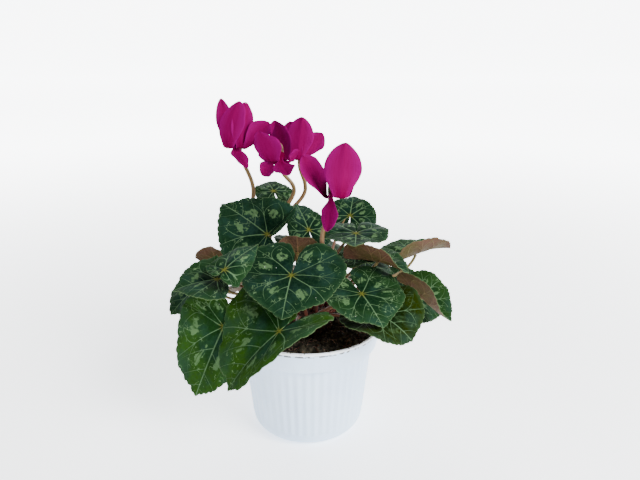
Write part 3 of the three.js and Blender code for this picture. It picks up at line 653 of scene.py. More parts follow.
def ripples(points, size, seed, waves=10):
    """A smooth random field over points, about -1 to 1, whose lumps are as large as size."""
    random = np.random.default_rng(seed)
    ways = unit(random.normal(size=(waves, 3))) * random.uniform(0.6, 1.5, (waves, 1))
    phases = random.uniform(0, 2 * pi, waves)
    return np.sin(points @ ways.T * pi / size + phases).sum(axis=1) / sqrt(waves)


def rise(value, low, high):
    share = np.clip((value - low) / (high - low), 0, 1)
    return share * share * (3 - 2 * share)


# The ways of stalks and stems. A point of the hook at the top of a stem is given by how far it
# is down the bloom's axis from the mouth and how far out from that axis.

HOOK = [(7, 9), (-5, 9), (-11.5, 6.3), (-12.8, 2.2), (-9.6, 0)]
BENDS = [0, 5, -5, 10, -10, 15, -15, 20, -20, 26, -26, 32, -32, 40, -40]
LIFTS = [0, 9, -9, 18, 27]
ON_ROD = 0.08


def crown_point(turn, distance):
    """A point of the tuber's crown and the way out of it."""
    height = TUBER_CENTRE + TUBER_HALF_HEIGHT * sqrt(1 - (distance / TUBER_RADIUS) ** 2)
    place = np.array([distance * cos(radians(turn)), distance * sin(radians(turn)), height])
    out = unit((place - [0, 0, TUBER_CENTRE]) / TUBER_SIZE ** 2)
    return place + out * GAP, out


def above_crown(place, out, after, radius):
    slant = np.linalg.norm(np.cross(unit(after - place), out))
    return place + out * radius * slant


def stalk_path(leaf, bend, lift, count=60):
    place, out = crown_point(leaf.root_turn, leaf.root_distance)
    end = leaf.at + leaf.midrib * STALK_RADIUS
    reach = np.linalg.norm(end - place)
    arrive = unit(leaf.upward + STALK_SLANT * leaf.midrib)
    sideways = unit(np.cross(end - place, [0, 0, 1]))
    near_root = place + out * STALK_RISE * reach + sideways * bend + [0, 0, lift]
    near_end = end - arrive * STALK_ARRIVAL * reach + sideways * STALK_EASING * bend + [0, 0, lift]
    start = above_crown(place, out, near_root, STALK_RADIUS)
    t = np.linspace(0, 1, count)[:, None]
    early = start * (1 - t) ** 3 + near_root * 3 * t * (1 - t) ** 2
    return early + near_end * 3 * t * t * (1 - t) + end * t ** 3


def smooth_path(points, count):
    """A smooth curve through points that doesn't loop where they lie close together."""
    points = np.array([2 * points[0] - points[1], *points, 2 * points[-1] - points[-2]])
    gaps = np.linalg.norm(np.diff(points, axis=0), axis=1) ** 0.5
    path = []
    for way in np.linspace(0, len(points) - 3, count):
        i = min(int(way), len(points) - 4)
        t = way - i
        p, d = points[i:i + 4], gaps[i:i + 3]
        step = p[2] - p[1]
        leave = (p[1] - p[0]) / d[0] - (p[2] - p[0]) / (d[0] + d[1]) + step / d[1]
        arrive = step / d[1] - (p[3] - p[1]) / (d[1] + d[2]) + (p[3] - p[2]) / d[2]
        leave, arrive = leave * d[1], arrive * d[1]
        bend = 3 * step - 2 * leave - arrive
        path.append(p[1] + leave * t + bend * t ** 2 + (leave + arrive - 2 * step) * t ** 3)
    return np.array(path)


def stem_path(bloom, bend, lift, count=120):
    place, out = crown_point(bloom.root_turn, STEM_ROOTS)
    turn = radians(bloom.stem_side)
    beside = bloom.front * cos(turn) + bloom.side * sin(turn)
    low = np.array(bloom.stem_low, float)
    start = place + out * STEM_RISE
    knee = start + 0.7 * (low - start)
    knee[2] = start[2] + 0.45 * (low[2] - start[2]) + lift
    knee[0] += bend
    hook = [bloom.mouth + bloom.axis * down + beside * aside for down, aside in HOOK]
    return smooth_path([above_crown(place, out, start, STEM_RADIUS), start, knee, low, *hook], count)


def way_of_node(node, radius, path_of, plant_part):
    """The path, out of those with each bend and lift, around which the solid's own rod lies."""
    corners = np.array([corner.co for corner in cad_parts[node].data.vertices]) / MM

    def corners_on(points):
        apart = np.linalg.norm(corners[:, None] - points[None], axis=2).min(axis=1)
        return (abs(apart - radius) < ON_ROD).sum()

    paths = [path_of(plant_part, bend, lift) for lift in LIFTS for bend in BENDS]
    return max(paths, key=corners_on)


# Leaves: a leaf has the junction of its blade and stalk, its heading and pitch in degrees and its
# length from the junction to the tip. Of its two halves, each may have its own width and lobe
# length (left_half, right_half) and its own fold and curl in degrees (left, right). The tip bends
# down by droop and the lobes by lobes, in degrees; wave is the height of the margin's waves, blunt
# the share of the tip that is missing, and fresh the tone of its green. That tone is
# painted light: it is yellower on the steep leaves that face the viewer, for the light shining
# through them and the grey sheen they lack.

LEAF_FORM = dict(
    roll=0, width=1, lobe_length=1, left=(8, -15), right=(8, -15), droop=18, lobes=15, wave=1,
    blunt=0.03, fresh=0.15,
)


def make_leaf(at, heading, pitch, length, **changes):
    leaf = SimpleNamespace(at=np.array(at, float), heading=heading, length=length, **{**LEAF_FORM, **changes})
    half = (leaf.width, leaf.lobe_length)
    leaf.left_half, leaf.right_half = changes.get("left_half", half), changes.get("right_half", half)
    heading, pitch, roll = radians(heading), radians(pitch), radians(leaf.roll)
    ahead = np.array([cos(heading), sin(heading), 0])
    leaf.midrib = ahead * cos(pitch) - np.array([0, 0, sin(pitch)])
    level = ahead * sin(pitch) + np.array([0, 0, cos(pitch)])
    leftward = np.cross(level, leaf.midrib)
    leaf.leftward = leftward * cos(roll) + level * sin(roll)
    leaf.upward = level * cos(roll) - leftward * sin(roll)
    return leaf


FRONT_LEAVES = [
    make_leaf((-10, -46, 149), -101, 26, 37, width=1.2, lobes=-8, fresh=0),
    make_leaf((-18, -70, 116.5), -161, 34, 63, roll=-8, blunt=0.1, left_half=(0.48, 0.73),
              right_half=(0.98, 0.4), left=(13, 7), right=(20, -4), droop=32, lobes=60, fresh=0.9),
    make_leaf((-62, -40, 105), -150, 61, 69, roll=-44, blunt=0.1, left_half=(0.47, 0.27),
              right_half=(0.6, 0.35), left=(-3, -6), right=(0, 6), droop=22, lobes=20, fresh=0.7),
    make_leaf((-65, -39, 143), -165, 0, 34, roll=-8, width=0.85, lobe_length=0.25, left=(0, -10),
              right=(25, -10), fresh=0.2),
    make_leaf((-86, 6, 121), -147, 28, 37, lobe_length=0.6),
    make_leaf((-32, 14, 160), 158, -33, 50, roll=-27, left_half=(0.95, 0.4),
              right_half=(0.85, 0.12), left=(-10, -30), right=(4, 0), lobes=50, fresh=0),
    make_leaf((-57, -53, 156), 50, -25, 36, width=0.5, lobe_length=0.25, left=(5, -10),
              right=(-60, -40)),
    make_leaf((1, 38, 156), 112, -36, 36, width=0.6, lobe_length=0.6, fresh=0),
    make_leaf((-7, -5, 151), -90, -85, 18, width=1.45, lobe_length=0.6, lobes=20, wave=2.5),
    make_leaf((-31, 77, 180), 110, -20, 22, width=0.9),
    make_leaf((37, 60, 162), 80, -38, 27, lobe_length=0.85, fresh=0),
    make_leaf((38, -13, 170), -95, 12, 25, droop=-20, width=1.15, fresh=0),
    make_leaf((39, 4, 145), -150, 10, 20),
    make_leaf((54, -14, 148), -31, 0, 28, left=(5, 0), right=(70, 0), fresh=0.1),
    make_leaf((90, 26, 140), 24, -10, 36, width=0.9, left=(8, -5), right=(30, 60)),
    make_leaf((41, -45, 134), -60, 20, 33, left_half=(1.25, 1), right_half=(1.05, 0.85), lobes=0,
              fresh=0.2),
    make_leaf((55, -46, 117), -43, 2, 36, roll=12, blunt=0.14, left_half=(1.2, 0.9),
              right_half=(0.96, 0.83), left=(13, -9), right=(20, -7), droop=55, lobes=20, fresh=2),
    make_leaf((93, -7, 115), -35, 40, 31, roll=9, left_half=(0.85, 0.8), right_half=(1.08, 0.8),
              left=(18, 18), right=(86, -17), droop=-24, lobes=63, fresh=0.4),
    make_leaf((-76, 24, 134), -110, -70, 18, width=1.3, lobe_length=0.25),
]

BACK_RINGS = [
    dict(count=6, first=14, last=150, distance=84, height=102, pitch=28, length=38),
    dict(count=3, first=28, last=98, distance=54, height=134, pitch=10, length=30),
]
BACK_LOBES = 0.8
SHINGLE_ROLL = 20

OUTLINE = [
    (0, 1.0), (14, 0.88), (32, 0.83), (60, 0.83), (90, 0.87),
    (118, 0.94), (142, 0.95), (160, 0.91), (170, 0.8), (176, 0.58),
]


def random_stream(seed):
    """Numbers from 0 to 1, the same each time."""
    state = seed
    while True:
        state = state * 48271 % 2147483647
        yield state / 2147483647


def back_leaves():
    stream = random_stream(20251)

    def about(value, size):
        return value + size * (2 * next(stream) - 1)

    leaves = []
    for back in (SimpleNamespace(**row) for row in BACK_RINGS):
        for k in range(back.count):
            turn = about(back.first + (back.last - back.first) / (back.count - 1) * k, 3)
            distance = about(back.distance, 4)
            height = about(back.height, 3)
            at = (distance * cos(radians(turn)), distance * sin(radians(turn)), height)
            heading, pitch, length = about(turn, 14), about(back.pitch, 6), about(back.length, 3)
            roll = about(SHINGLE_ROLL, 3)
            leaves.append(make_leaf(at, heading, pitch, length, lobe_length=BACK_LOBES, roll=roll))
    return leaves


def turn_of(leaf):
    return atan2(leaf.at[1], leaf.at[0])


def place_roots(circle, distance):
    """Roots stand evenly around the crown, in the order in which the junctions do."""
    ordered = sorted(circle, key=turn_of)
    even = [2 * pi * k / len(ordered) - pi for k in range(len(ordered))]
    offset = sum(turn_of(leaf) - turn for leaf, turn in zip(ordered, even)) / len(ordered)
    for leaf, turn in zip(ordered, even):
        leaf.root_turn = degrees(turn + offset)
        leaf.root_distance = distance


def margin_distance(turn):
    """The distance from the junction to the margin of a blade of unit length."""
    angles, reach = np.transpose(OUTLINE)
    last = len(OUTLINE) - 1
    angle = np.minimum(np.degrees(abs(turn)), angles[-1])
    i = np.clip(np.searchsorted(angles, angle) - 1, 0, last - 1)
    t = (angle - angles[i]) / (angles[i + 1] - angles[i])
    before, start, end, after = (reach[np.clip(i + k, 0, last)] for k in (-1, 0, 1, 2))
    bend = 2 * before - 5 * start + 4 * end - after
    return 0.5 * (2 * start + (end - before) * t + bend * t ** 2
                  + (3 * start - before - 3 * end + after) * t ** 3)


def by_half(left, on_left, on_right):
    """Two arrays: both values of the half, left or right, that each point is in."""
    return np.where(left, np.transpose([on_left]), np.transpose([on_right]))


def blade_points(leaf, along, across, rise_up):
    """Places of a blade at flat distances along and across its midrib, raised by rise_up."""
    fold, curl = by_half(across > 0, leaf.left, leaf.right)
    out, up, _ = bend_strips(abs(across), steps=6, angle_at=lambda reach: np.radians(
        fold * (1 - np.exp(-reach / FOLD_RADIUS)) + curl * reach / leaf.length))
    radius = np.hypot(along, across) / leaf.length
    turn = np.arctan2(across, along)
    up = up + leaf.wave * radius ** 2 * np.sin(MARGIN_WAVES * turn + leaf.heading) + rise_up
    bend = np.radians(np.where(along > 0, leaf.droop, leaf.lobes)) / leaf.length
    bend = np.where(bend == 0, 1e-6, bend)
    angle = bend * along
    x = np.sin(angle) / bend + up * np.sin(angle)
    z = -(1 - np.cos(angle)) / bend + up * np.cos(angle)
    shift = np.outer(x, leaf.midrib) + np.outer(np.sign(across) * out, leaf.leftward)
    return leaf.at + shift + np.outer(z, leaf.upward)


BLADE_RINGS = np.array([0.05, 0.12, 0.2, 0.29, 0.38, 0.47, 0.56, 0.65, 0.74, 0.82, 0.89, 0.94, 0.975, 1])
TOOTH_STEPS = (0, 0.2, 1, 0.2)
BLADE_COLUMNS = TEETH * len(TOOTH_STEPS) + 1


def blade_grid(number, leaf):
    """The turn, reach and flat distances along and across of a blade's points, the junction last."""
    random = np.random.default_rng(700 + number)
    rings = len(BLADE_RINGS)
    turn = radians(180 - SINUS_HALF_ANGLE) * np.linspace(-1, 1, BLADE_COLUMNS)
    depth = np.repeat(random.uniform(0.5, 1.3, TEETH + 1), len(TOOTH_STEPS))[:BLADE_COLUMNS]
    notch = np.resize(TOOTH_STEPS, BLADE_COLUMNS) * depth * TOOTH_DEPTH
    shape = margin_distance(turn)
    shape *= 1 + 0.012 * np.sin(3 * turn + number) + 0.01 * np.sin(7 * turn + 2 * number)
    shape *= 1 - leaf.blunt * np.exp(-(np.degrees(turn) / TIP_SPREAD) ** 2)
    turns, reach = np.tile(turn, rings), np.repeat(BLADE_RINGS, BLADE_COLUMNS)
    toothed = np.where(reach == 1, 1 - np.tile(notch, rings), 1)
    radius = np.tile(shape, rings) * leaf.length * reach * toothed
    width, lobe = by_half(turns > 0, leaf.left_half, leaf.right_half)
    along = radius * np.cos(turns) * np.where(np.cos(turns) < 0, lobe, 1)
    across = radius * np.sin(turns) * width
    return [np.append(values, 0) for values in (turns, reach, along, across)]


def count_veins(number, turns, reach):
    """Turns around the junction counted in main veins, which sway a little."""
    sway = 0.06 * np.sin(2.3 * turns + 3 * reach + number)
    sway += 0.04 * np.sin(5.1 * turns - 4 * reach + 2 * number)
    bearing = np.degrees(abs(turns + sway * np.sin(np.clip(abs(turns), 0, pi))))
    return np.interp(bearing, VEIN_ANGLES, range(len(VEIN_ANGLES))) * np.sign(turns)


def add_blade(pile, number, leaf, kind):
    turns, reach, along, across = blade_grid(number, leaf)
    veins = count_veins(number, turns, reach)
    between = abs(veins - np.round(veins)) * 2
    puff = 0.75 * np.sin(between * pi / 2) ** 2 * rise(reach, 0.1, 0.45) * rise(reach, 1.08, 0.8)
    frill = 0.45 * reach ** 6 * np.sin(9 * turns + 3 * number)
    frill += 0.3 * reach ** 9 * np.sin(21 * turns + number)
    up = (puff + frill) * leaf.length / 35
    groove = 0.3 * np.exp(-(across / 0.9) ** 2) * rise(along, 0, 4)
    groove *= rise(along / leaf.length, 1.05, 0.6)

    point = blade_points(leaf, along, across, up)
    normal = sheet_normals(
        lambda ahead, aside: blade_points(leaf, ahead, aside, up), along, across, step=0.05)
    half = BLADE_THICKNESS / 2 * (1 - 0.45 * rise(reach, 0.8, 1))
    margin = (1 - reach) * margin_distance(turns) * leaf.length
    rings = len(BLADE_RINGS)
    junction = rings * BLADE_COLUMNS
    fan = [[junction, c, c + 1] for c in range(BLADE_COLUMNS - 1)]
    pile.add_sheet(
        point + normal * (half - 0.5 * groove)[:, None], point - normal * (half + groove)[:, None],
        grid_faces(rings, BLADE_COLUMNS) + fan, [junction, *grid_border(rings, BLADE_COLUMNS)], (0, 1),
        leaf_place=np.stack([veins, reach, np.hypot(along, across)], axis=1),
        leaf_flat=np.stack([along, across, margin], axis=1), leaf_kind=kind,
    )


def add_stalk(pile, node, leaf, kind):
    path = way_of_node(node, STALK_RADIUS, stalk_path, leaf)
    way = np.linspace(0, 1, len(path))
    radii = STALK_RADIUS * (1.08 - 0.2 * way + 0.15 * rise(way, 0.93, 1))
    points, faces, share = tube(path[::2], radii[::2], sides=10)
    points -= leaf.upward * (0.3 * rise(share, 0.9, 1))[:, None]
    pile.add(points, faces, 2, leaf_place=np.outer(share, [0, 1, 0]), leaf_kind=kind)


def add_leaf(number, leaf, materials):
    node = f"leaf_{number:02d}"
    kind = (number * 1.37, leaf.fresh, leaf.length)
    pile = Pile("leaf_place", "leaf_flat", "leaf_kind")
    add_blade(pile, number, leaf, kind)
    add_stalk(pile, node, leaf, kind)
    pile.piece(node + "_fine", materials, "leaf", node)


def add_leaves():
    leaves = [*FRONT_LEAVES, *back_leaves()]
    reaches = [hypot(leaf.at[0], leaf.at[1]) for leaf in leaves]
    place_roots([leaf for leaf, reach in zip(leaves, reaches) if reach < INNER_LEAF_REACH], INNER_ROOTS)
    place_roots([leaf for leaf, reach in zip(leaves, reaches) if reach >= INNER_LEAF_REACH], OUTER_ROOTS)
    materials = [leaf_upper_material(), leaf_under_material(), leaf_stalk_material()]
    for index, leaf in enumerate(leaves):
        add_leaf(index + 1, leaf, materials)


# Blooms: each petal has its turn around the mouth and its reflex away from the mouth's axis, both
# in degrees; the stem passes at stem_side.

BLOOM_HEADING = -90
PETAL_FORM = dict(length=41, width=12, twist=30, cup=0.12, arch=-8, sweep=0, claw=0.36, shoulder=0.58)


def petal(turn, reflex, **changes):
    return SimpleNamespace(turn=radians(turn), reflex=radians(reflex), **{**PETAL_FORM, **changes})


def hanging(turn, reflex, **changes):
    return petal(turn, reflex, claw=0.2, shoulder=0.5, **changes)


def make_bloom(mouth, lean, stem_side, stem_low, root_turn, petals):
    heading, lean = radians(BLOOM_HEADING), radians(lean)
    axis = np.array([cos(heading) * sin(lean), sin(heading) * sin(lean), -cos(lean)])
    side = np.array([-sin(heading), cos(heading), 0])
    return SimpleNamespace(
        mouth=np.array(mouth, float), axis=axis, side=side, front=np.cross(side, axis),
        stem_side=stem_side, stem_low=stem_low, root_turn=root_turn, petals=petals,
    )


BLOOMS = [
    make_bloom((-60, 48, 226), 10, stem_side=24, stem_low=(-48, 66, 186), root_turn=130, petals=[
        petal(90, 142, length=36, twist=60),
        hanging(165, 20, length=19, width=7, sweep=-11),
        petal(210, 173, length=43, width=13, twist=0, sweep=-18),
        petal(318, 171, length=48, width=7.5),
        petal(135, 173, length=43, width=11.5, twist=0),
    ]),
    make_bloom((-23, 34, 217), 20, stem_side=15, stem_low=(-12, 60, 184), root_turn=215, petals=[
        hanging(155, 60, length=24, width=9, twist=-30),
        petal(215, 150, length=33, width=14.5, twist=10),
        hanging(275, 50, length=17, width=9, twist=-60),
        petal(325, 150, length=26, width=10),
        petal(75, 150, length=20, width=10),
    ]),
    make_bloom((-13, 64, 213), 12, stem_side=40, stem_low=(-3, 76, 180), root_turn=80, petals=[
        petal(150, 170, length=42),
        petal(222, 167, length=40, width=11.5, twist=10),
        petal(295, 170),
        petal(350, 170),
        petal(92, 148, length=35, twist=65),
    ]),
    make_bloom((23, -24, 203), 12, stem_side=325.5, stem_low=(12, -18, 165), root_turn=-45, petals=[
        petal(165, 170, length=46, width=13.5),
        hanging(240, 8, length=28, width=8, sweep=2),
        petal(278, 156, twist=55),
        petal(12, 165),
        petal(62, 165, length=34),
    ]),
]


def petal_half_width(petal, along):
    base = petal.claw + (1 - petal.claw) * rise(along, 0.05, petal.shoulder)
    past = np.clip((along - petal.shoulder) / (1 - petal.shoulder), 0, 1)
    return base * np.maximum(1 - past ** 2, 0.004) ** 0.7


def petal_points(bloom, petal, along, across, number):
    """Places of a petal: along from its base to its tip and across from -1 to 1."""
    twist = np.radians(petal.twist) * along
    radial = bloom.front * cos(petal.turn) + bloom.side * sin(petal.turn)
    tangent = np.cross(bloom.axis, radial)
    down, out, angle = bend_strips(along * petal.length, steps=12, angle_at=lambda reach: (
        petal.reflex * rise(reach, 0, PETAL_TURN) + radians(petal.arch) * reach / petal.length))
    face = np.outer(np.cos(angle), radial) - np.outer(np.sin(angle), bloom.axis)
    cosine, sine = np.cos(twist)[:, None], np.sin(twist)[:, None]
    spread = tangent * cosine + face * sine
    lifted = face * cosine - tangent * sine
    half = petal_half_width(petal, along) * petal.width
    crease = -0.55 * np.exp(-(across / 0.16) ** 2) * rise(along, 0.05, 0.3)
    frill = 0.9 * np.sin(9 * along + 2.5 * np.sign(across) + number) + 0.4 * np.sin(23 * along + 2 * number)
    height = petal.cup * across ** 2 * half + crease + frill * across ** 2 * rise(along, 0.2, 0.7)
    place = bloom.mouth + np.outer(down - PETAL_ROOT, bloom.axis) + np.outer(out + MOUTH_RADIUS - 0.5, radial)
    return place + spread * (across * half + petal.sweep * along ** 2)[:, None] + lifted * height[:, None]


def add_petal(pile, bloom, petal, number):
    rows, columns = 34, 19
    along = np.repeat(1 - (1 - np.linspace(0, 1, rows)) ** 1.25, columns)
    across = np.tile(np.linspace(-1, 1, columns), rows)
    point = petal_points(bloom, petal, along, across, number)
    normal = sheet_normals(
        lambda ahead, aside: petal_points(bloom, petal, ahead, aside, number), along, across, step=0.004)
    half = PETAL_THICKNESS / 2 * (1 - 0.5 * rise(abs(across), 0.6, 1)) * (1 + 0.6 * rise(along, 0.25, 0))
    shift = normal * half[:, None]
    border = grid_border(rows, columns) + list(range(columns - 2, 0, -1))
    place = np.stack([across, along, np.full_like(along, number * 2.3)], axis=1)
    pile.add_sheet(point + shift, point - shift, grid_faces(rows, columns), border, (0, 0), petal_place=place)


def along_axis(bloom, points):
    """Turns a lathe shape so that its +Z runs along the bloom's axis from its mouth."""
    return bloom.mouth + points @ np.array([bloom.side, bloom.front, bloom.axis])


ANTHERS = [
    (NEAR_AXIS, -6.9), (2.4, -6.8), (2.2, -4.5), (1.5, -2.2), (0.5, -0.9), (0.3, 0.6), (NEAR_AXIS, 0.7),
]


def tube_profile():
    """Radius and height of the short tube behind the petals, outside and then inside."""
    half = TUBE_LENGTH / 2
    return [
        (NEAR_AXIS, -TUBE_LENGTH), (TUBE_END_RADIUS - 0.5, -TUBE_LENGTH),
        (TUBE_END_RADIUS, 0.6 - TUBE_LENGTH), (MOUTH_RADIUS - 0.7, -half - 1.5),
        (MOUTH_RADIUS - 0.2, -half), (MOUTH_RADIUS - 0.1, -1.5),
        (MOUTH_RADIUS + 0.15, -0.3), (MOUTH_RADIUS, 0.1), (MOUTH_RADIUS - 0.5, -0.1),
        (MOUTH_RADIUS - TUBE_WALL, -1.5), (MOUTH_RADIUS - 0.2 - TUBE_WALL, -half),
        (TUBE_END_RADIUS - TUBE_WALL / 2, TUBE_WALL - TUBE_LENGTH), (NEAR_AXIS, TUBE_WALL - TUBE_LENGTH),
    ]


def add_corolla(number, bloom, materials):
    pile = Pile("petal_place")
    for index, petal in enumerate(bloom.petals):
        add_petal(pile, bloom, petal, 5 * number + index)
    points, faces = lathe(tube_profile(), sides=40)
    pile.add(along_axis(bloom, points), faces, petal_place=(0, 0.03, number))
    points, faces = lathe(ANTHERS, sides=20)
    pile.add(along_axis(bloom, points), faces, 1)
    pile.piece(f"bloom_{number}_corolla", materials, "petal", f"bloom_{number}_petals")


def add_calyx(pile, bloom):
    """A cup of pointed lobes behind the tube."""
    rows, columns = 9, 60
    turns = round_turns(columns)
    tips = 1 - abs((turns * CALYX_LOBES / (2 * pi)) % 1 - 0.5) * 2
    back = -TUBE_LENGTH - GAP - 2.2
    rings = []
    for share in np.linspace(0, 1, rows):
        reach = CALYX_RADIUS * (0.3 + 0.62 * rise(share, 0, 0.45)) + 0.25 * share * tips
        rings.append(ring(reach, back + share * (2.4 + 2.6 * tips ** 0.8), turns))
    outer, faces = skin_of(rings)
    inner = outer * [0.9, 0.9, 1] + [0, 0, 0.25]
    rim = list(range((rows - 1) * columns, rows * columns))[::-1]
    pile.add_sheet(along_axis(bloom, outer), along_axis(bloom, inner), faces, rim, (1, 1))


def add_stem(number, bloom, materials):
    node = f"bloom_{number}_stem"
    path = way_of_node(node, STEM_RADIUS, stem_path, bloom)
    radii = STEM_RADIUS * (1.03 - 0.22 * np.linspace(0, 1, len(path)))
    pile = Pile()
    pile.add(*tube(path, radii, sides=12)[:2])
    add_calyx(pile, bloom)
    pile.piece(node + "_fine", materials, "stem", node)


def add_blooms():
    corolla = [petal_material(), anther_material()]
    green = [stem_material(), calyx_material()]
    for index, bloom in enumerate(BLOOMS):
        add_corolla(index + 1, bloom, corolla)
        add_stem(index + 1, bloom, green)


# Pot: its skin goes from the axis below, out and up, over the rim and back in to the axis. The
# points beside the lip and round the rim are given by how far in from the rim's radius they are
# and how far up from the lip's level, or down from the rim's.

BESIDE_LIP = [(1.25, -0.9), (1.15, -0.5), (0.4, -0.15), (0.05, 0.3), (0, 1)]
ROUND_RIM = [(0.15, 0.4), (0.6, 0), (1.5, 0.05), (LIP_HEIGHT, 0.5), (LIP_HEIGHT + 0.3, 2)]


def pot_foot():
    """Radius and height over the bottom and up its round edge."""
    flat = BODY_BOTTOM_RADIUS - BOTTOM_FILLET
    rows = [(NEAR_AXIS, 0.6), (flat - 6, 0.6), (flat - 4.5, 0)]
    for angle in np.linspace(0, pi / 2, 12):
        rows.append((flat + BOTTOM_FILLET * sin(angle), BOTTOM_FILLET * (1 - cos(angle))))
    return rows


def pot_wall():
    """Radius, height and share of rib depth up the ribbed wall."""
    taper = (BODY_TOP_RADIUS - BODY_BOTTOM_RADIUS) / (COLLAR_LEVEL - BOTTOM_FILLET)
    low, high = BOTTOM_FILLET, COLLAR_LEVEL - RIB_FADE / 2
    middle = (low + high) / 2
    rows = []
    for height in (low + 0.8, low + 1.6, low + RIB_FADE, middle, high - RIB_FADE, high - 1, high - 0.3):
        depth = rise(height, low, low + RIB_FADE) * rise(height, high, high - 1.6)
        rows.append((BODY_BOTTOM_RADIUS + taper * (height - low), height, depth))
    return rows


def pot_collar():
    """Radius and height up the collar, over the lip and the rim and down inside."""
    rows = [(BODY_TOP_RADIUS, COLLAR_LEVEL - 1), (BODY_TOP_RADIUS + 0.3, COLLAR_LEVEL - 0.3)]
    rows += [(COLLAR_RADIUS - inward, COLLAR_LEVEL + up) for inward, up in ((1, -0.2), (0.2, 0), (0, 0.6))]
    slope = (RIM_RADIUS - 1 - COLLAR_RADIUS) / (LIP_LEVEL - 0.5 - COLLAR_LEVEL)
    for height in (COLLAR_LEVEL + 6, COLLAR_LEVEL + 12, LIP_LEVEL - 1.6):
        rows.append((COLLAR_RADIUS + slope * (height - COLLAR_LEVEL), height))
    rows += [(RIM_RADIUS - inward, LIP_LEVEL + up) for inward, up in BESIDE_LIP]
    rows += [(RIM_RADIUS - inward, POT_HEIGHT - down) for inward, down in ROUND_RIM]
    return rows + pot_inside(0)


def pot_inside(gap):
    """Radius and height down the inner wall and in to the axis, a gap clear of the pot."""
    return [
        (COLLAR_RADIUS - WALL - gap, COLLAR_LEVEL + 1.5), (BODY_TOP_RADIUS - WALL - gap, COLLAR_LEVEL - 2),
        (BODY_BOTTOM_RADIUS - WALL - gap, BOTTOM_FILLET + 1),
        (BODY_BOTTOM_RADIUS - BOTTOM_FILLET - gap, WALL + gap), (NEAR_AXIS, WALL + gap),
    ]


def add_pot():
    turns = round_turns(POT_COLUMNS)
    wave = RIB_DEPTH / 2 * np.cos(turns * POT_RIBS)
    rings = [ring(radius, height, turns) for radius, height in pot_foot()]
    rings += [ring(radius + depth * wave, height, turns) for radius, height, depth in pot_wall()]
    rings += [ring(radius, height, turns) for radius, height in pot_collar()]
    pile = Pile()
    pile.add(*skin_of(rings, capped=True))
    drill_holes(pile.piece("pot_fine", [pot_material()], "pot", "pot"))


def drill_holes(pot):
    """Cuts the drain holes out of the pot's bottom."""
    drills = Pile()
    for centre in ring(DRAIN_CIRCLE, 0, round_turns(DRAIN_HOLES)):
        points, faces = lathe([(DRAIN_RADIUS, -WALL), (DRAIN_RADIUS, 3 * WALL)], sides=32, capped=True)
        drills.add(points + centre, faces)
    cutter = drills.thing("drills", smooth=False)
    cut = pot.modifiers.new("holes", "BOOLEAN")
    cut.operation = "DIFFERENCE"
    cut.solver = "EXACT"
    cut.object = cutter
    graph = bpy.context.evaluated_depsgraph_get()
    cut_mesh = bpy.data.meshes.new_from_object(pot.evaluated_get(graph))
    pot.modifiers.clear()
    pot.data = cut_mesh
    bpy.data.objects.remove(cutter)


# Soil and tuber

def soil_height(points):
    x, y, _ = points.T
    lump = np.sin(x / 7.3 + 1.1) * np.cos(y / 6.1) + 0.5 * np.sin((x + 2 * y) / 4.7)
    flat = points * [1, 1, 0]
    return SOIL_LEVEL + SOIL_LUMP * lump + 0.8 * ripples(flat, 4, 11) + 0.4 * ripples(flat, 1.8, 12)


def disc_points(radius, count, random):
    """Random places inside a circle, as rows of x, y and zero."""
    turn = random.uniform(0, 2 * pi, count)
    return ring(radius * np.sqrt(random.uniform(0, 1, count)), 0, turn)


def add_soil():
    rows, columns = 46, 180
    turns = round_turns(columns)
    below = [(SOIL_RADIUS, SOIL_LEVEL - 3), *pot_inside(GAP)]
    rings = [ring(reach, height, turns) for reach, height in below[::-1]]
    for reach in np.linspace(NEAR_AXIS, SOIL_RADIUS - 0.8, rows)[::-1]:
        flat = ring(reach, 0, turns)
        rings.append(ring(reach, soil_height(flat), turns))
    pile = Pile()
    pile.add(*skin_of(rings))
    pile.piece("soil_fine", [soil_material("soil_mass", (24, 24, 19), (76, 72, 58))], "soil", "soil")


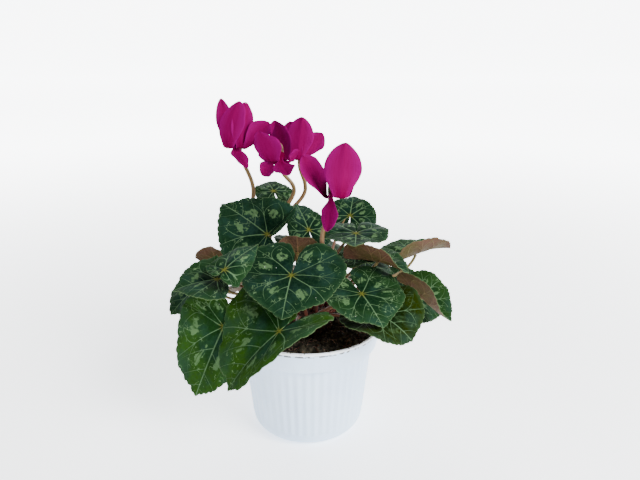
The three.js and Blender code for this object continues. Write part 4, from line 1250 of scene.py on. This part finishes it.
def add_crumbs():
    """Loose crumbs on the soil, and a few on the rim."""
    random = np.random.default_rng(31)
    ball = [(0.3, -0.95), (0.85, -0.55), (1, 0), (0.85, 0.55), (0.3, 0.95)]
    points, faces = lathe(ball, sides=7, capped=True)
    on_soil = disc_points(SOIL_RADIUS - 1.5, SOIL_CRUMBS, random)
    on_soil[:, 2] = soil_height(on_soil)
    turn = random.uniform(0, 2 * pi, RIM_CRUMBS)
    on_rim = ring(RIM_RADIUS - 1.2 + random.uniform(-0.8, 0.7, RIM_CRUMBS), POT_HEIGHT, turn)
    pile = Pile()
    for index, place in enumerate(np.concatenate([on_soil, on_rim])):
        size = 0.3 + 1.3 * random.random() ** 3
        if index >= SOIL_CRUMBS:
            size = 0.2 + 0.5 * random.random() ** 2
        if hypot(place[0], place[1]) < TUBER_RADIUS + 1:
            continue
        spin = unit(random.normal(size=(3, 3)))
        shape = points * random.uniform(0.6, 1.3, 3) * size
        shape *= 1 + 0.3 * ripples(points + index, 0.8, index)[:, None]
        pile.add(shape @ spin.T * 0.9 + place + [0, 0, 0.35 * size], faces, index % 2)
    dark = soil_material("crumb_dark", (26, 24, 20), (80, 74, 60))
    brown = soil_material("crumb_brown", (34, 24, 18), (78, 54, 40))
    pile.piece("soil_crumbs", [dark, brown], "soil")


def add_fibres():
    """Short bent fibres lying on the soil."""
    random = np.random.default_rng(47)
    share = np.linspace(-0.5, 0.5, 9)
    pile = Pile()
    for place in disc_points(SOIL_RADIUS - 5, FIBRES, random):
        if hypot(place[0], place[1]) < TUBER_RADIUS + 2:
            continue
        heading, bend = random.uniform(0, 2 * pi), random.uniform(-1.6, 1.6)
        path = place + ring(share * random.uniform(3, 9), 0, heading + bend * share)
        path[:, 2] = soil_height(path) + 0.35 + 0.5 * np.sin(share * 5 + heading) ** 2
        radii = random.uniform(0.12, 0.26) * (1 - 1.4 * share ** 2)
        pile.add(*tube(path, radii, sides=5)[:2])
    pile.piece("soil_fibres", [fibre_material()], "soil")


def add_tuber():
    rows, columns = 46, 96
    tilts = np.linspace(0.01, pi - 0.01, rows)[::-1]
    ball, faces = skin_of([ring(sin(tilt), cos(tilt), round_turns(columns)) for tilt in tilts])
    skin = ball * TUBER_SIZE
    lumps = 0.5 * ripples(skin, 6, 21) + 0.3 * ripples(skin, 2.2, 22)
    skin = skin + ball * np.clip(lumps, -1, 0.6)[:, None]
    pile = Pile()
    pile.add(skin + [0, 0, TUBER_CENTRE], faces)
    pile.piece("tuber_fine", [tuber_material()], "tuber", "tuber")


def add_floor():
    """A floor that sweeps up into a wall far behind the plant."""
    front, back, bend, top, half_width = -4000, 4000, 3000, 5000, 8000
    turns = np.linspace(0, pi / 2, 24)
    sweep = [(back + bend * sin(turn), bend - bend * cos(turn)) for turn in turns]
    curve = [(front, 0), *sweep, (back + bend, top)]
    points = [(side, y, z) for y, z in curve for side in (-half_width, half_width)]
    pile = Pile()
    pile.add(np.array(points), [face[::-1] for face in grid_faces(len(curve), 2)])
    pile.thing("floor", [floor_material()])


add_camera()
add_studio()
add_pot()
add_soil()
add_crumbs()
add_fibres()
add_tuber()
add_leaves()
add_blooms()
add_floor()
